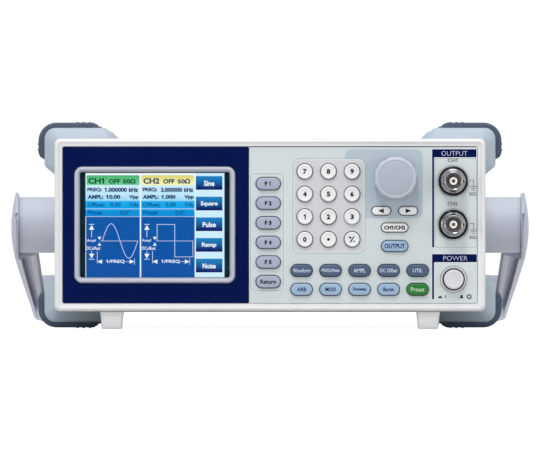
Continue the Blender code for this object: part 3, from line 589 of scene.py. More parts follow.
def band(shape, outline_at, inset, width, lift):
    """A line that follows an outline. outline_at gives the outline for an inset."""
    raised(shape, outline_at(inset), [outline_at(inset + width)], lift)


def groove(dark, light, outline_at, width):
    """An engraved line drawn as painted shade on the outline and a painted highlight just outside it."""
    band(dark, outline_at, 0.0, width, 0.05)
    band(light, outline_at, -width, width, 0.05)


def add_grooves():
    """The engraved lines round the areas, sockets and power button, drawn as painted shade and painted
    highlight, and painted shadow round the key holes and along the top edge of the pale sheet.
    """
    dark, light, edge = bmesh.new(), bmesh.new(), bmesh.new()

    def keypad_at(inset):
        return shrunk(KEYPAD_AREA, inset, KEYPAD_CORNER - inset)

    # The keypad area's raised edge: a painted highlight along it and a painted shade line just beyond.
    band(light, keypad_at, -0.45, 0.45, 0.12)
    band(dark, keypad_at, -0.8, 0.32, 0.07)
    groove(dark, light, lambda inset: shrunk((SPLIT + 0.4, 7.1, -33.6, 26.4), inset, 2.4 - inset), 0.3)
    groove(dark, light, lambda inset: shrunk((83.6, 105.0, -11.6, 34.0), inset, 1.0), 0.25)
    groove(dark, light, lambda inset: circle(OUTPUTS[0], 8.4 - inset, 64), 0.25)
    groove(dark, light, lambda inset: circle(OUTPUTS[1], 8.4 - inset, 64), 0.25)
    groove(dark, light, lambda inset: circle(POWER, 7.2 - inset, 64), 0.25)
    add_sheet_piece("grooves_painted_shade", dark, SHADE_LINE)
    # Painted shadow of the bezel's top border, along the top edge of the pale sheet.
    bar(edge, SPLIT + 0.2, 105.3, 39.55, 39.95, FILM - 0.05)
    # Painted shadow round every key hole.
    for outer, inner in zip(key_holes(KEY_GAP + 0.18), key_holes()):
        raised(edge, outer, [inner], 0.1)
    add_sheet_piece("film_edge_painted_shadow", edge, SHADOW_LINE)
    add_sheet_piece("grooves_painted_highlight", light, LINE_LIGHT)


def bar(shape, left, right, bottom, top, face=None):
    """A thin flat rectangle, on the sheet unless its face's depth is given: print, and the painted shadow
    line along the sheet's top edge.
    """
    front = FILM - PRINT_LIFT if face is None else face
    return box(shape, (left, right), (front, front + 0.12), (bottom, top))


def triangle(shape, points, front, thick=0.12):
    """A flat triangle that faces the front."""
    plate(points, [], front, front + thick, shape=shape)


def add_prints():
    """Headers, connector labels and power symbols on the pale sheet."""
    navy, grey, white, dark, edging = [bmesh.new() for _ in range(5)]
    for right, low, header, high in [(104.9, -11.4, 34.4, 38.5), (105.1, -37.8, -18.9, -14.8)]:
        bar(navy, HEADER_LEFT, right, header, high)
        bar(navy, HEADER_LEFT, HEADER_LEFT + 1.0, low, header + 0.1)
        bar(edging, HEADER_LEFT - 0.3, HEADER_LEFT + 1.35, low - 0.3, header, FILM - 0.045)
        bar(edging, HEADER_LEFT - 0.3, right + 0.3, header - 0.35, high + 0.3, FILM - 0.045)
    add_sheet_piece("header_edging", edging, LINE_LIGHT)
    header_face = FILM - PRINT_LIFT - INK
    write(white, "OUTPUT", (93.7, 36.4), 2.3, header_face, 13.2, -0.012)
    write(white, "POWER", (94.2, -16.9), 2.3, header_face, 12.3, -0.012)
    label_face = FILM - INK
    for words, (x, z) in zip(["CH1", "CH2"], OUTPUTS):
        write(grey, words, (x - 0.3, z + 10.6), 1.8, label_face, 5.0, 0.015)
        write(grey, "50Ω", (103.1, z - 6.5), 1.7, label_face, 3.8, 0.015)
        bar(dark, 101.4, 103.6, z + 0.4, z + 0.65)
        bar(dark, 103.35, 103.6, z - 2.6, z + 0.65)
        for step, half in enumerate([1.9, 1.3, 0.6]):
            bar(dark, 103.4 - half, 103.4 + half, z - 2.85 - 0.95 * step, z - 2.6 - 0.95 * step)
    z = -36.4
    pressed = [(85.4, 87.5, -0.75, -0.2), (85.85, 87.05, -0.2, 0.3), (89.05, 89.45, -0.85, 0.85)]
    released = [(96.4, 98.3, -0.8, -0.2), (96.8, 97.9, -0.2, 0.85)]
    for left, right, low, high in pressed + released:
        bar(dark, left, right, z + low, z + high)
    plate(circle((101.2, z), 1.25), [circle((101.2, z), 0.7)], FILM - PRINT_LIFT, FILM + 0.1, shape=dark)
    add_sheet_piece("headers_print", navy, NAVY_FILM)
    add_sheet_piece("header_lettering", white, INK_LAVENDER)
    add_sheet_piece("label_lettering", grey, INK_GREY)
    add_sheet_piece("power_symbols", dark, INK_DARK)


def key_cap(name, dished):
    """A key cap with soft shoulders and the flange behind the panel wall."""
    centre = middle(name)
    width, height = key_size(name)
    front, back = span(name)[0].y, span(name)[1].y
    margins = [(0.75, 0.0), (0.45, 0.05), (0.2, 0.2), (0.05, 0.48), (0.0, 0.9)]
    if dished:
        margins = [(1.35, DISH), (1.15, 0.16), (0.9, 0.02), (0.7, 0.0)] + margins[1:]
    rings = []
    for inset, depth in margins:
        rings.append(ring_at(pill(centre, width - 2 * inset, height - 2 * inset), front + depth))
    flange = pill(centre, width + 2 * FLANGE_MARGIN, height + 2 * FLANGE_MARGIN)
    rings.append(ring_at(pill(centre, width, height), back - 1.0))
    rings += [ring_at(flange, back - 1.0), ring_at(flange, back)]
    return loft(rings)


def start_key(name, dish=0.0):
    """A key's cap, its count of faces before the lettering, its middle, and the lettering's depth."""
    shape = key_cap(name, dished=dish > 0)
    return shape, len(shape.faces), *middle(name), span(name)[0].y + dish - INK


def finish_key(name, shape, cap_faces, style):
    """Inks what comes after the cap's faces, and makes the piece."""
    material, ink, slot = KEY_STYLES[style]
    paint(shape, cap_faces, 1)
    piece(f"{name}_cap", shape, [material, ink], [name], name)


def add_keys():
    """All the keys, each with its lettering."""
    for name, words in SOFT_KEYS:
        shape, cap_faces, x, z, face = start_key(name)
        write(shape, words[0], (x - 1.15, z), 2.1, face, 1.25, 0.06)
        write(shape, words[1], (x + 1.0, z), 2.1, face, 0.42 if words[1] == "1" else 1.45, 0.06)
        finish_key(name, shape, cap_faces, "soft")
    for name, words, style, width, height in WIDE_KEYS:
        shape, cap_faces, x, z, face = start_key(name)
        bold = {"slate": 0.004, "green": 0.0, "white": 0.05}.get(style, 0.028)
        write(shape, words, (x, z), height, face, width, bold)
        finish_key(name, shape, cap_faces, style)
    for row in NUMBER_LABELS:
        for label in row:
            add_number_key(label)
    for name, way in [("key_arrow_left", -1), ("key_arrow_right", 1)]:
        shape, cap_faces, x, z, face = start_key(name)
        triangle(shape, [(x + way * 1.6, z), (x - way * 1.3, z + 1.2), (x - way * 1.3, z - 1.2)], face)
        finish_key(name, shape, cap_faces, "white")


def add_number_key(label):
    """A round, dished key with a figure, the point or the sign change."""
    name = f"key_{label}"
    shape, cap_faces, x, z, face = start_key(name, DISH)
    if label == "point":
        turned([(face, 0.75), (face + INK, 0.75)], (x, z), 24, shape)
    elif label == "sign":
        bar(shape, x - 1.6, x - 0.3, z + 0.62, z + 1.14, face)
        bar(shape, x - 1.21, x - 0.69, z + 0.23, z + 1.53, face)
        bar(shape, x + 0.4, x + 1.6, z - 1.2, z - 0.74, face)
        slash = [(x + 1.3, z + 1.5), (x + 0.6, z + 1.5), (x - 1.3, z - 1.5), (x - 0.6, z - 1.5)]
        triangle(shape, slash, face)
    elif label == "1":
        write(shape, label, (x + 0.2, z), 2.6, face, 0.62)
    else:
        write(shape, label, (x, z), 2.6, face, 1.85, 0.05)
    finish_key(name, shape, cap_faces, "white")


def fluted(centre, radius, depth):
    """A circle with shallow notches, for a grip."""
    flutes, steps = 12, 16
    points = []
    for i in range(flutes * steps):
        angle = 2 * math.pi * i / (flutes * steps)
        notch = max(0.0, math.cos(flutes * angle)) ** 2
        r = radius - depth * notch
        points.append((centre[0] + r * math.cos(angle), centre[1] + r * math.sin(angle)))
    return points


def add_knob():
    """The tuning knob: notched grip painted lighter than the face as a highlight, smooth face, and its
    shaft.
    """
    front = span("knob")[0].y
    face = [(0.0, 1.2, 0.0), (0.05, 3.0, 0.0), (0.2, 5.2, 0.0), (0.45, 7.0, 0.0)]
    face += [(0.8, 8.5, 0.0), (0.95, 8.8, 0.0)]
    grip = [(0.8, 9.0, 0.0), (0.72, 9.3, 0.0), (0.85, 9.75, 0.05), (1.25, 10.2, 0.08), (1.9, 10.55, 0.18)]
    grip += [(3.2, 10.8, 0.28), (13.6, 11.0, 0.36), (14.0, 10.8, 0.3), (14.4, 10.4, 0.2)]
    grip += [(14.4, 3.0, 0.0), (25.0, 3.0, 0.0)]
    rings = [ring_at(fluted(KNOB, radius, flute), front + depth) for depth, radius, flute in face + grip]
    shape = loft(rings)
    # The grip and rim take the lighter material, a painted highlight; the face's cap keeps the darker one.
    paint(shape, len(face) * len(rings[0]), 1)
    shape.faces[-2].material_index = 0
    piece("knob_grip", shape, [KNOB_PLASTIC, KNOB_RIM_HIGHLIGHT], ["knob"], "knob", 50.0)


def add_power():
    """The power button with its push rod, and a dark ring of painted shade in the gap round it."""
    front = span("power_button")[0].y
    rings = [(0.5, 1.0), (0.42, 2.4), (0.15, 3.6), (0.02, 4.0), (0.0, 4.15), (0.1, 4.4), (0.35, 4.68)]
    rings += [(0.8, 4.9), (1.5, 5.0), (9.2, 5.0), (9.2, 7.0), (10.4, 7.0), (10.4, 2.2), (26.2, 2.2)]
    shape = turned([(front + depth, radius) for depth, radius in rings], POWER, 64)
    piece("power_button_cap", shape, POWER_PLASTIC, ["power_button"], "power_button")
    # A dark ring fills the gap round the button as painted shade.
    ring = plate(circle(POWER, 5.64, 64), [circle(POWER, 5.08, 64)], 2.2, 4.0)
    piece("power_button_gap_shade", ring, GAP_SHADE)


def bnc_shell(shape, centre, face):
    """A front bayonet socket's barrel and two lugs, standing out from face."""
    rings = [(1.4, 6.4), (2.2, 6.4), (2.6, 6.25), (2.8, 5.95), (2.9, 5.7), (3.4, 5.4), (3.9, 5.0)]
    rings += [(4.0, 4.9), (6.4, 4.9), (6.7, 4.55)]
    rings += [(7.6, 4.55), (7.9, 4.9), (11.1, 4.9), (11.5, 4.78), (11.78, 4.55), (11.9, 4.35), (11.8, 4.15)]
    rings += [(11.4, 4.0), (9.4, 4.0), (7.6, 2.3), (3.9, 2.3), (3.9, 1.0)]
    turned([(face - out, radius) for out, radius in rings], centre, 56, shape)
    for side in (-1, 1):
        x = centre[0] + side * 5.2
        box(shape, (x - 0.65, x + 0.65), (face - 9.2, face - 7.2), (centre[1] - 1.0, centre[1] + 1.0), 0.25)


def bnc_core(centre, face, way, name, pin_material):
    """A socket's white insulator and its split centre contact. The socket points towards way from face."""
    rings = [(3.0, 2.0), (10.3, 2.0), (10.5, 1.85), (10.5, 0.95), (9.5, 0.9), (9.5, 0.4)]
    shape = turned([(face + way * out, radius) for out, radius in rings], centre, 32)
    piece(f"{name}_insulator", shape, INSULATOR)
    rings = [(4.0, 0.85), (10.3, 0.85), (10.45, 0.72), (10.45, 0.45), (8.0, 0.4)]
    shape = turned([(face + way * out, radius) for out, radius in rings], centre, 24)
    x, z = centre
    box(shape, (x - 0.09, x + 0.09), sorted((face + way * 9.0, face + way * 10.5)), (z - 0.8, z + 0.8))
    piece(f"{name}_contact", shape, pin_material)


def add_output_connectors():
    """The two front bayonet sockets with their washers and nuts."""
    red = metal("contact_red", (0.42, 0.10, 0.06), 0.4)
    olive = metal("contact_olive", (0.33, 0.31, 0.10), 0.4)
    face = FILM - WALL_GAP
    for name, pin in [("output_connector_ch1", red), ("output_connector_ch2", olive)]:
        centre = middle(name)
        shape = bmesh.new()
        bnc_shell(shape, centre, face)
        shell_faces = len(shape.faces)
        washer = [(0.0, 7.5), (1.3, 7.6), (1.75, 7.45), (2.0, 7.1), (2.1, 6.7), (1.9, 6.3), (0.0, 6.3)]
        turned([(face - out, radius) for out, radius in washer], centre, 56, shape)
        nut = [(face, 6.2), (4.4, 6.2), (4.4, 7.6), (7.2, 7.6), (7.2, 4.4), (15.0, 4.4)]
        turned(nut, centre, 40, shape)
        paint(shape, shell_faces, 1)
        piece(f"{name}_shell", shape, [CONNECTOR_METAL, DARK_NICKEL], [name])
        bnc_core(centre, face, -1, name, pin)


# ---------------------------------------------------------------- display

LCD_FACE = 5.0  # depth of the lit picture
LAYER = 0.04  # how far each layer of the picture stands in front of the one below
SCREEN = (-93.8, -23.2, -26.5, 26.4)  # left, right, bottom and top
MENU_LEFT = -38.0
WAVE_TOP = 4.3  # where the blue field with the waves begins
CHANNEL_SHIFT = 28.1  # from the first channel's column to the second's
HEADER_LOW, HEADER_HIGH = 20.3, 25.3
MENU_STEP = 10.5
MENU = [
    # words, lettering width and height
    ("Sine", 5.3, 2.8),
    ("Square", 8.6, 2.8),
    ("Pulse", 6.7, 2.6),
    ("Ramp", 7.5, 2.8),
    ("Noise", 6.7, 2.6),
]


def lit(name, material, shape):
    """A layer of the display's picture, as its own piece."""
    piece(name, shape, material)


def strip(left, right, bottom, top, level, shape=None):
    """One flat coloured area of the picture. Higher levels lie in front."""
    front = LCD_FACE - LAYER * level
    return box(shape or bmesh.new(), (left, right), (front, front + LAYER), (bottom, top))


def add_screen():
    """The display's dark surround and the lit fields of its picture."""
    left, right, bottom, top = SCREEN
    low, high = span("lcd_module")
    sides, ends = (low.x + 2.7, high.x - 2.7), (low.z + 2.7, high.z - 2.7)
    border = box(bmesh.new(), sides, (LCD_FACE + LAYER, 6.4), ends)
    piece("lcd_surround", border, LCD_BORDER)
    for name, light_name, low_colour, high_colour, low_z, high_z in [
        ("lcd_wave_field", "lcd_blue", (0.0, 0.08, 0.37), (0.0, 0.095, 0.39), bottom, WAVE_TOP),
        ("lcd_row_1", "lcd_row_white", (0.50, 0.80, 0.98), (0.9, 0.97, 1.0), 16.2, top),
        ("lcd_row_2", "lcd_row_pale", (0.30, 0.68, 0.92), (0.58, 0.84, 0.96), 12.2, 16.2),
        ("lcd_row_3", "lcd_row_cyan", (0.0, 0.36, 0.78), (0.01, 0.42, 0.83), 8.4, 12.2),
        ("lcd_row_4", "lcd_row_blue", (0.0, 0.24, 0.66), (0.0, 0.34, 0.76), WAVE_TOP, 8.4),
    ]:
        light = glow(light_name, low_colour, high_colour, low_z, high_z)
        lit(name, light, strip(left, MENU_LEFT, low_z, high_z, 0))
    menu_colour = (0.64, 0.87, 1.0)
    menu = strip(MENU_LEFT, right, bottom, top, 0)
    lit("lcd_menu_field", glow("lcd_white", menu_colour, menu_colour, bottom, top), menu)
    for name, header_left, header_right, low_colour, high_colour in [
        ("green", -93.3, -66.4, (0.16, 0.62, 0.30), (0.07, 0.46, 0.16)),
        ("yellow", -65.2, -38.7, (0.98, 0.93, 0.42), (0.72, 0.66, 0.16)),
    ]:
        outline = rounded_box(header_left, header_right, HEADER_LOW, HEADER_HIGH, 0.7)
        light = glow(f"lcd_{name}", low_colour, high_colour, HEADER_LOW, HEADER_HIGH)
        lit(f"lcd_header_{name}", light, plate(outline, [], LCD_FACE - LAYER, LCD_FACE))
    for row in range(len(MENU)):
        high_z = 24.9 - MENU_STEP * row
        shade = glow(f"lcd_button_{row + 1}", (0.0, 0.008, 0.13), (0.01, 0.24, 0.58), high_z - 6.2, high_z)
        lit(f"lcd_menu_button_{row + 1}", shade, strip(-37.7, -24.2, high_z - 7.0, high_z, 1))


def add_screen_writing():
    """The words, lines and waves of the picture."""
    white, dark, green, blue = [bmesh.new() for _ in range(4)]
    face = LCD_FACE - 0.14
    for row, (words, width, height) in enumerate(MENU):
        write(white, words, (-30.95, 21.2 - MENU_STEP * row), height, face, width, 0.03)
    for shift, number, ink, freq, amp in [
        (0.0, "CH1", green, "1.000000", "10.00"),
        (CHANNEL_SHIFT, "CH2", dark, "2.000000", "1.000"),
    ]:
        write(ink, number, (-88.4 + shift, 22.4), 3.0, face, 8.2, 0.04)
        write(ink, "OFF", (-79.1 + shift * 0.985, 22.2), 2.4, face, 5.8, 0.045)
        write(ink, "50Ω", (-71.6 + shift * 0.99, 22.2), 2.4, face, 6.4, 0.045)
        write(dark, "FREQ:", (-89.2 + shift, 17.9), 2.2, face, 7.4, 0.055)
        write(dark, freq, (-78.2 + shift, 17.9), 2.2, face, 11.0, 0.055)
        write(dark, "kHz", (-69.4 + shift, 17.9), 2.2, face, 4.8, 0.055)
        write(dark, "AMPL:", (-88.8 + shift, 14.3), 2.1, face, 8.0, 0.055)
        write(dark, amp, (-79.5 + shift, 14.3), 2.1, face, 6.8, 0.055)
        write(dark, "Vpp", (-69.3 + shift, 14.1), 2.3, face, 4.9, 0.055)
        write(blue, "Offset:", (-88.4 + shift, 10.4), 2.1, face, 8.8, 0.03)
        write(blue, "0.00", (-78.6 + shift, 10.4), 2.1, face, 5.3, 0.03)
        write(blue, "Vdc", (-69.2 + shift, 10.4), 2.1, face, 4.9, 0.03)
        write(blue, "Phase:", (-88.8 + shift, 6.4), 2.1, face, 7.6, 0.03)
        write(blue, "0.0°", (-73.8 + shift, 6.4), 2.1, face, 5.0, 0.03)
        add_wave_notes(white, shift, face)
    left, _, bottom, top = SCREEN
    thin_bars = [(-66.2, -65.5, bottom, top), (-38.3, MENU_LEFT, bottom, top), (left, -38.3, 8.1, 8.3)]
    thin_bars += [(left, -93.5, bottom, WAVE_TOP), (left, -38.3, 4.2, 4.35)]
    for edges in thin_bars:
        strip(*edges, 2, white)
    add_traces(white)
    for name, shape, colour in [
        ("white", white, (0.86, 0.94, 1.0)),
        ("dark", dark, (0.01, 0.05, 0.15)),
        ("green", green, (0.0, 0.09, 0.02)),
        ("blue", blue, (0.0, 0.10, 0.36)),
    ]:
        lit(f"lcd_writing_{name}", glow(f"lcd_ink_{name}", colour, colour, -30, 30), shape)


def screen_line(shape, points, width=0.22):
    """A picture line through points, as one short bar for each stretch."""
    front = LCD_FACE - LAYER * 3
    for start, end in zip(points, points[1:]):
        start, end = Vector(start), Vector(end)
        along = (end - start).normalized() * width / 2
        side = Vector((-along.y, along.x))
        start, end = start - along, end + along
        ring = [start + side, end + side, end - side, start - side]
        loft([ring_at(ring, front), ring_at(ring, front + LAYER)], shape=shape)


def add_traces(shape):
    """The sine and the square wave with their zero lines."""
    zero, swing = -8.1, 8.8
    start, end = -85.3, -67.2
    sine = []
    for i in range(41):
        share = i / 40
        sine.append((start + (end - start) * share, zero + swing * math.sin(2 * math.pi * share)))
    screen_line(shape, sine)
    screen_line(shape, [(start - 0.7, zero), (end, zero)], 0.18)
    left, fall, right = -57.4, -48.4, -39.2
    square = [(left, zero), (left, 0.3), (fall, 0.3), (fall, -16.2), (right, -16.2), (right, zero)]
    screen_line(shape, square)
    screen_line(shape, [(left - 0.3, zero), (right, zero)], 0.18)


def add_wave_notes(shape, shift, face):
    """Amplitude, offset and period arrows with their words, beside one trace."""
    x = -90.7 + shift
    strip(x - 1.4, x + 1.4, 0.2, 0.45, 3, shape)
    triangle(shape, [(x, 0.0), (x - 1.35, -2.4), (x + 1.35, -2.4)], face, 0.04)
    strip(x - 0.12, x + 0.12, -6.2, -2.4, 3, shape)
    write(shape, "Ampl", (x - 0.2, -8.0), 1.7, face, 4.6, 0.01)
    write(shape, "DCoffset", (x + 0.9, -11.8), 1.7, face, 7.0, 0.01)
    strip(x - 0.12, x + 0.12, -14.6, -13.2, 3, shape)
    triangle(shape, [(x, -17.0), (x + 1.35, -14.6), (x - 1.35, -14.6)], face, 0.04)
    strip(x - 1.4, x + 1.4, -17.5, -17.25, 3, shape)
    near = x + 4.0
    triangle(shape, [(near, -7.6), (near + 0.95, -6.0), (near - 0.95, -6.0)], face, 0.04)
    triangle(shape, [(near, -8.9), (near - 0.95, -10.5), (near + 0.95, -10.5)], face, 0.04)
    z = -18.6
    tick, last = x + 2.85, x + 21.8
    strip(tick - 0.1, tick + 0.1, -19.6, -13.4, 3, shape)
    strip(last - 0.1, last + 0.1, -20.2, -17.0, 3, shape)
    triangle(shape, [(tick, z), (tick + 2.5, z + 1.1), (tick + 2.5, z - 1.1)], face, 0.04)
    triangle(shape, [(last, z), (last - 2.5, z - 1.1), (last - 2.5, z + 1.1)], face, 0.04)
    write(shape, "1/FREQ", (x + 12.3, z), 1.9, face, 9.0, 0.02)
    strip(last - 4.4, last - 2.5, z - 0.1, z + 0.1, 3, shape)


def add_window():
    """The clear window over the display."""
    shape = plate(frame_outline(2.4, 1.3), [], 3.6, 4.4)
    piece("window_pane", shape, WINDOW, ["display_window"])


# ---------------------------------------------------------------- casing

CASE_X, CASE_Z, CASE_RADIUS, SHEET = 106.0, 40.5, 2.5, 1.2
COVER_FRONT, COVER_BACK = span("top_cover")[0].y, span("top_cover")[1].y


def remap(shape, move):
    """Moves every vertex of a shape by a rule from its (x, depth, z)."""
    for vertex in shape.verts:
        vertex.co = move(*vertex.co)
    bmesh.ops.recalc_face_normals(shape, faces=shape.faces)
    return shape


def slot_outline(left, right, bottom, top):
    """A slot with round ends, upright or lying."""
    radius = min(right - left, top - bottom) / 2 - 0.001
    return rounded_box(left, right, bottom, top, radius, 5)


def merge(target, *shapes):
    """Adds shapes to target."""
    for shape in shapes:
        mesh = bpy.data.meshes.new("part")
        shape.to_mesh(mesh)
        shape.free()
        target.from_mesh(mesh)
        bpy.data.meshes.remove(mesh)
    return target


def side_wall(side):
    """One side of the cover, with its vent slots and the hole for the handle's bolt."""
    hem = span("top_cover")[0].z
    outline = rounded_box(COVER_FRONT, COVER_BACK, hem, CASE_Z - CASE_RADIUS, 0.05, 1)
    holes = [slot_outline(150.0 + 5 * i, 152.2 + 5 * i, -12.0, 12.0) for i in range(11)]
    holes.append(circle((115.0, 0.0), 5.6))
    wall = plate(outline, holes, CASE_X - SHEET, CASE_X)
    return remap(wall, lambda x, depth, z: (side * depth, x, z))


def add_cover():
    """The cover: two sides, and the top with its rounded folds."""
    shape = merge(bmesh.new(), side_wall(1), side_wall(-1))
    fold_x, fold_z = CASE_X - CASE_RADIUS, CASE_Z - CASE_RADIUS
    outer_arc = arc(fold_x, fold_z, CASE_RADIUS, 0, 90, 8)
    inner_arc = arc(fold_x, fold_z, CASE_RADIUS - SHEET, 90, 0, 8)
    left_arcs = [(-x, z) for x, z in outer_arc[::-1] + inner_arc[::-1]]
    outline = outer_arc + left_arcs + inner_arc
    loft([ring_at(outline, COVER_FRONT), ring_at(outline, COVER_BACK)], shape=shape)
    piece("cover_sheet", shape, COVER_PAINT, ["top_cover"])


def add_chassis():
    """The folded tray: a floor with slots and the two flanges inside the cover."""
    outer = CASE_X - SHEET - WALL_GAP
    floor = rounded_box(-outer + 0.2, outer - 0.2, COVER_FRONT, COVER_BACK, 0.05, 1)
    holes = []
    for i in range(9):
        x = -60.0 + 15.0 * i
        holes += [slot_outline(x - 4.5, x + 4.5, 90.0, 92.5), slot_outline(x - 4.5, x + 4.5, 98.0, 100.5)]
    sheet = plate(floor, holes, -CASE_Z, -CASE_Z + SHEET)
    shape = remap(sheet, lambda x, depth, z: (x, z, depth))
    for side in (-1, 1):
        ends = sorted((side * (outer - SHEET), side * outer))
        box(shape, ends, (COVER_FRONT, COVER_BACK), (-CASE_Z, -20.0), 0.3)
    piece("chassis_tray", shape, CHASSIS_PAINT, ["bottom_chassis"])


def bumper_outline(flare, inset=0.0):
    """The bumper seen from the front. flare 1 stands the four corners out, and 0 leaves a plain band."""
    band_x, band_z = 109.0 - inset, 43.4 - inset
    corner_x, corner_z = band_x + 6.1 * flare, band_z + 6.2 * flare
    radius = max(2.5 - inset, 1.0) + 3.1 * flare
    quarter = [(0.0, band_z), (77.6, band_z), (78.5, band_z + 0.5 * flare)]
    quarter += [(83.1, corner_z - 0.7 * flare), (84.2, corner_z)]
    quarter += arc(corner_x - radius, corner_z - radius, radius, 90, 0, 12)
    quarter += [(corner_x, 31.0), (corner_x - 0.6 * flare, 29.6)]
    quarter += [(band_x + 0.5 * flare, 25.4), (band_x, 24.3)]
    lower = [(x, -z) for x, z in reversed(quarter)]
    right = quarter + [(band_x, 0.0)] + lower
    return right + [(-x, z) for x, z in reversed(right[1:-1])]


def pad_outline(side_x, side_z, grow):
    """One rubber corner pad with its grip ribs, grown outwards by so much."""
    end_x, end_z = 87.5 - grow, 33.6 - grow
    outer_x, outer_z = 118.2 + grow, 52.3 + grow
    radius = 9.2 + grow
    rib = 0.35
    points = [(end_x, CASE_Z), (end_x, outer_z - 2.4), (end_x + 0.5, outer_z - 1.1), (end_x + 2.6, outer_z)]
    for x in (92.0, 95.2, 98.3):
        points += [(x - 2 * rib, outer_z), (x - rib, outer_z + rib)]
        points += [(x + rib, outer_z + rib), (x + 2 * rib, outer_z)]
    points += arc(outer_x - radius, outer_z - radius, radius, 88, 3, 12)
    for z in (41.4, 38.3):
        points += [(outer_x, z + 2 * rib), (outer_x + rib, z + rib)]
        points += [(outer_x + rib, z - rib), (outer_x, z - 2 * rib)]
    points += [(outer_x, end_z + 3.2), (outer_x - 0.8, end_z + 1.2), (outer_x - 2.8, end_z)]
    points += [(CASE_X, end_z), (CASE_X, CASE_Z)]
    return [(side_x * x, side_z * z) for x, z in points]


def add_bumper(node_name):
    """A corner bumper: the plastic ring and the rubber pads that are moulded through it."""
    near, far = span(node_name)[0].y, span(node_name)[1].y
    taper = 4.7  # how far behind its edge the bumper reaches its full size
    slope = [(0.0, 0.0), (0.25, 0.06), (taper - 1.1, 0.82), (taper - 0.5, 0.93), (taper + 0.1, 0.985)]
    rings = [(near + depth, flare) for depth, flare in slope] + [(near + taper + 1.0, 1.0)]
    rings += [(far + near - depth, flare) for depth, flare in reversed(rings)]
    skins = [ring_at(bumper_outline(flare), depth) for depth, flare in rings]
    skins += [ring_at(bumper_outline(0.0, 1.3), far), ring_at(bumper_outline(0.0, 1.3), near)]
    shape = loft(skins, capped=False)
    piece(f"{node_name}_ring", shape, BUMPER_PLASTIC, [node_name])

    pad_near, pad_far = near + taper + 1.0, far - taper - 1.0
    pads = bmesh.new()
    edge = [(0.0, -1.5), (0.2, -0.75), (0.7, -0.2), (1.5, 0.0)]
    for side_x in (-1, 1):
        for side_z in (-1, 1):
            rings = [(pad_near + depth, grow) for depth, grow in edge]
            rings += [(pad_far - depth, grow) for depth, grow in reversed(edge)]
            loft([ring_at(pad_outline(side_x, side_z, grow), depth) for depth, grow in rings], shape=pads)
    piece(f"{node_name}_pads", pads, BUMPER_RUBBER, [f"{node_name}_rubber"])


def add_feet():
    """The four feet with their rubber soles."""
    for name in ["foot_front_left", "foot_front_right", "foot_rear_left", "foot_rear_right"]:
        low, high = span(name)
        rings = []
        for rise, inset in [(0.0, 1.4), (0.25, 1.05), (0.9, 0.85), (high.z - low.z, 0.0)]:
            rings.append(ring_level(shrunk((low.x, high.x, low.y, high.y), inset, 1.5), low.z + rise))
        piece(f"{name}_block", loft(rings), OFF_WHITE_PLASTIC, [name])
        centre = ((low.x + high.x) / 2, (low.y + high.y) / 2)
        sole = [(low.z + 0.02, 3.2), (low.z, 4.2), (low.z + 0.6, 4.2)]
        pad = loft([ring_level(circle(centre, radius, 32), z) for z, radius in sole])
        piece(f"{name}_sole", pad, BUMPER_RUBBER)


def screw_at(shape, place, out, radius, height):
    """A cross-head screw at a point, facing along out, built facing the front and then turned."""
    dome = [(0.2, radius), (-0.35 * height, radius), (-0.8 * height, radius * 0.8), (-height, radius * 0.35)]
    head = turned(dome, (0, 0), 28)
    recess = bmesh.new()
    arm, half = radius * 0.55, radius * 0.13
    for x, z in ((arm, half), (half, arm)):
        box(recess, (-x, x), (-height - 0.02, -height * 0.6), (-z, z))
    # The cross recess is a dark cross just proud of the head: painted shade.
    paint(recess, 0, 1)
    turn = Vector((0, -1, 0)).rotation_difference(Vector(out)).to_matrix()
    for part in (head, recess):
        for vertex in part.verts:
            vertex.co = turn @ vertex.co + Vector(place)
    merge(shape, head, recess)


def add_screws():
    """The screws of the rear panel, the tray, the cover's sides and the mains inlet."""
    shape = bmesh.new()
    for x in (-99.0, 99.0):
        for z in (-35.0, 35.0):
            screw_at(shape, (x, span("rear_panel")[1].y, z), (0, 1, 0), 2.3, 1.3)
    for x in (-92.0, 92.0):
        for depth in (58.0, 178.0):
            screw_at(shape, (x, depth, -CASE_Z), (0, 0, -1), 2.6, 1.4)
    for side in (-1, 1):
        for depth in (64.0, COVER_BACK - 36.0):
            screw_at(shape, (side * CASE_X, depth, -28.0), (side, 0, 0), 2.6, 1.3)
    inlet_x, inlet_z = middle("mains_inlet")
    for side in (-1, 1):
        screw_at(shape, (inlet_x + side * 19.8, span("mains_inlet")[1].y, inlet_z), (0, 1, 0), 2.1, 1.0)
    piece("case_screws", shape, [SCREW_STEEL, GAP_SHADE])


# ---------------------------------------------------------------- handle

HUB_DEPTH = 115.0  # depth of the handle's axis
HUB_HALF, END_HALF = 17.0, 11.2  # half the arm's height at the hub and at the grip
GRIP_INNER, GRIP_OUTER = 138.0, 161.0  # the grip's two faces, measured along the arm from the axis
TILT = math.radians(15.0)  # how far the arms point below the horizontal at rest
OUTER_CROWN = 0.0075  # how much the outer face is domed, per square millimetre of half height
HUB_INNER, ARM_INNER, ARM_END_INNER = 130.3, 121.2, 120.1  # inner faces' distances from the middle
OUTER_FACE = 134.6  # the outer face's greatest distance from the middle
DRUM_RADIUS = 14.5
LOW_WALL = 7.5  # height of the arm's upright inner wall, which leans outwards above that
GRIP_ARCH = 5.2  # how far the grip's underside is arched upwards
GRIP_HALF = 106.0  # half the length of the grip's straight part
STEP = 2.5  # how far the arm's inner part stands back from the edge of the round hub plate


def arm_outer(u):
    """The outer face's distance from the middle, along the arm."""
    if u < 6:
        return OUTER_FACE - 0.0052 * (u - 6) ** 2
    return OUTER_FACE - 0.048 * (u - 6) - 0.00006 * (u - 6) ** 2


def arm_inner(u):
    """How far out the handle's arm has its inner side, at a distance along it."""
    return ARM_INNER - 0.0104 * u


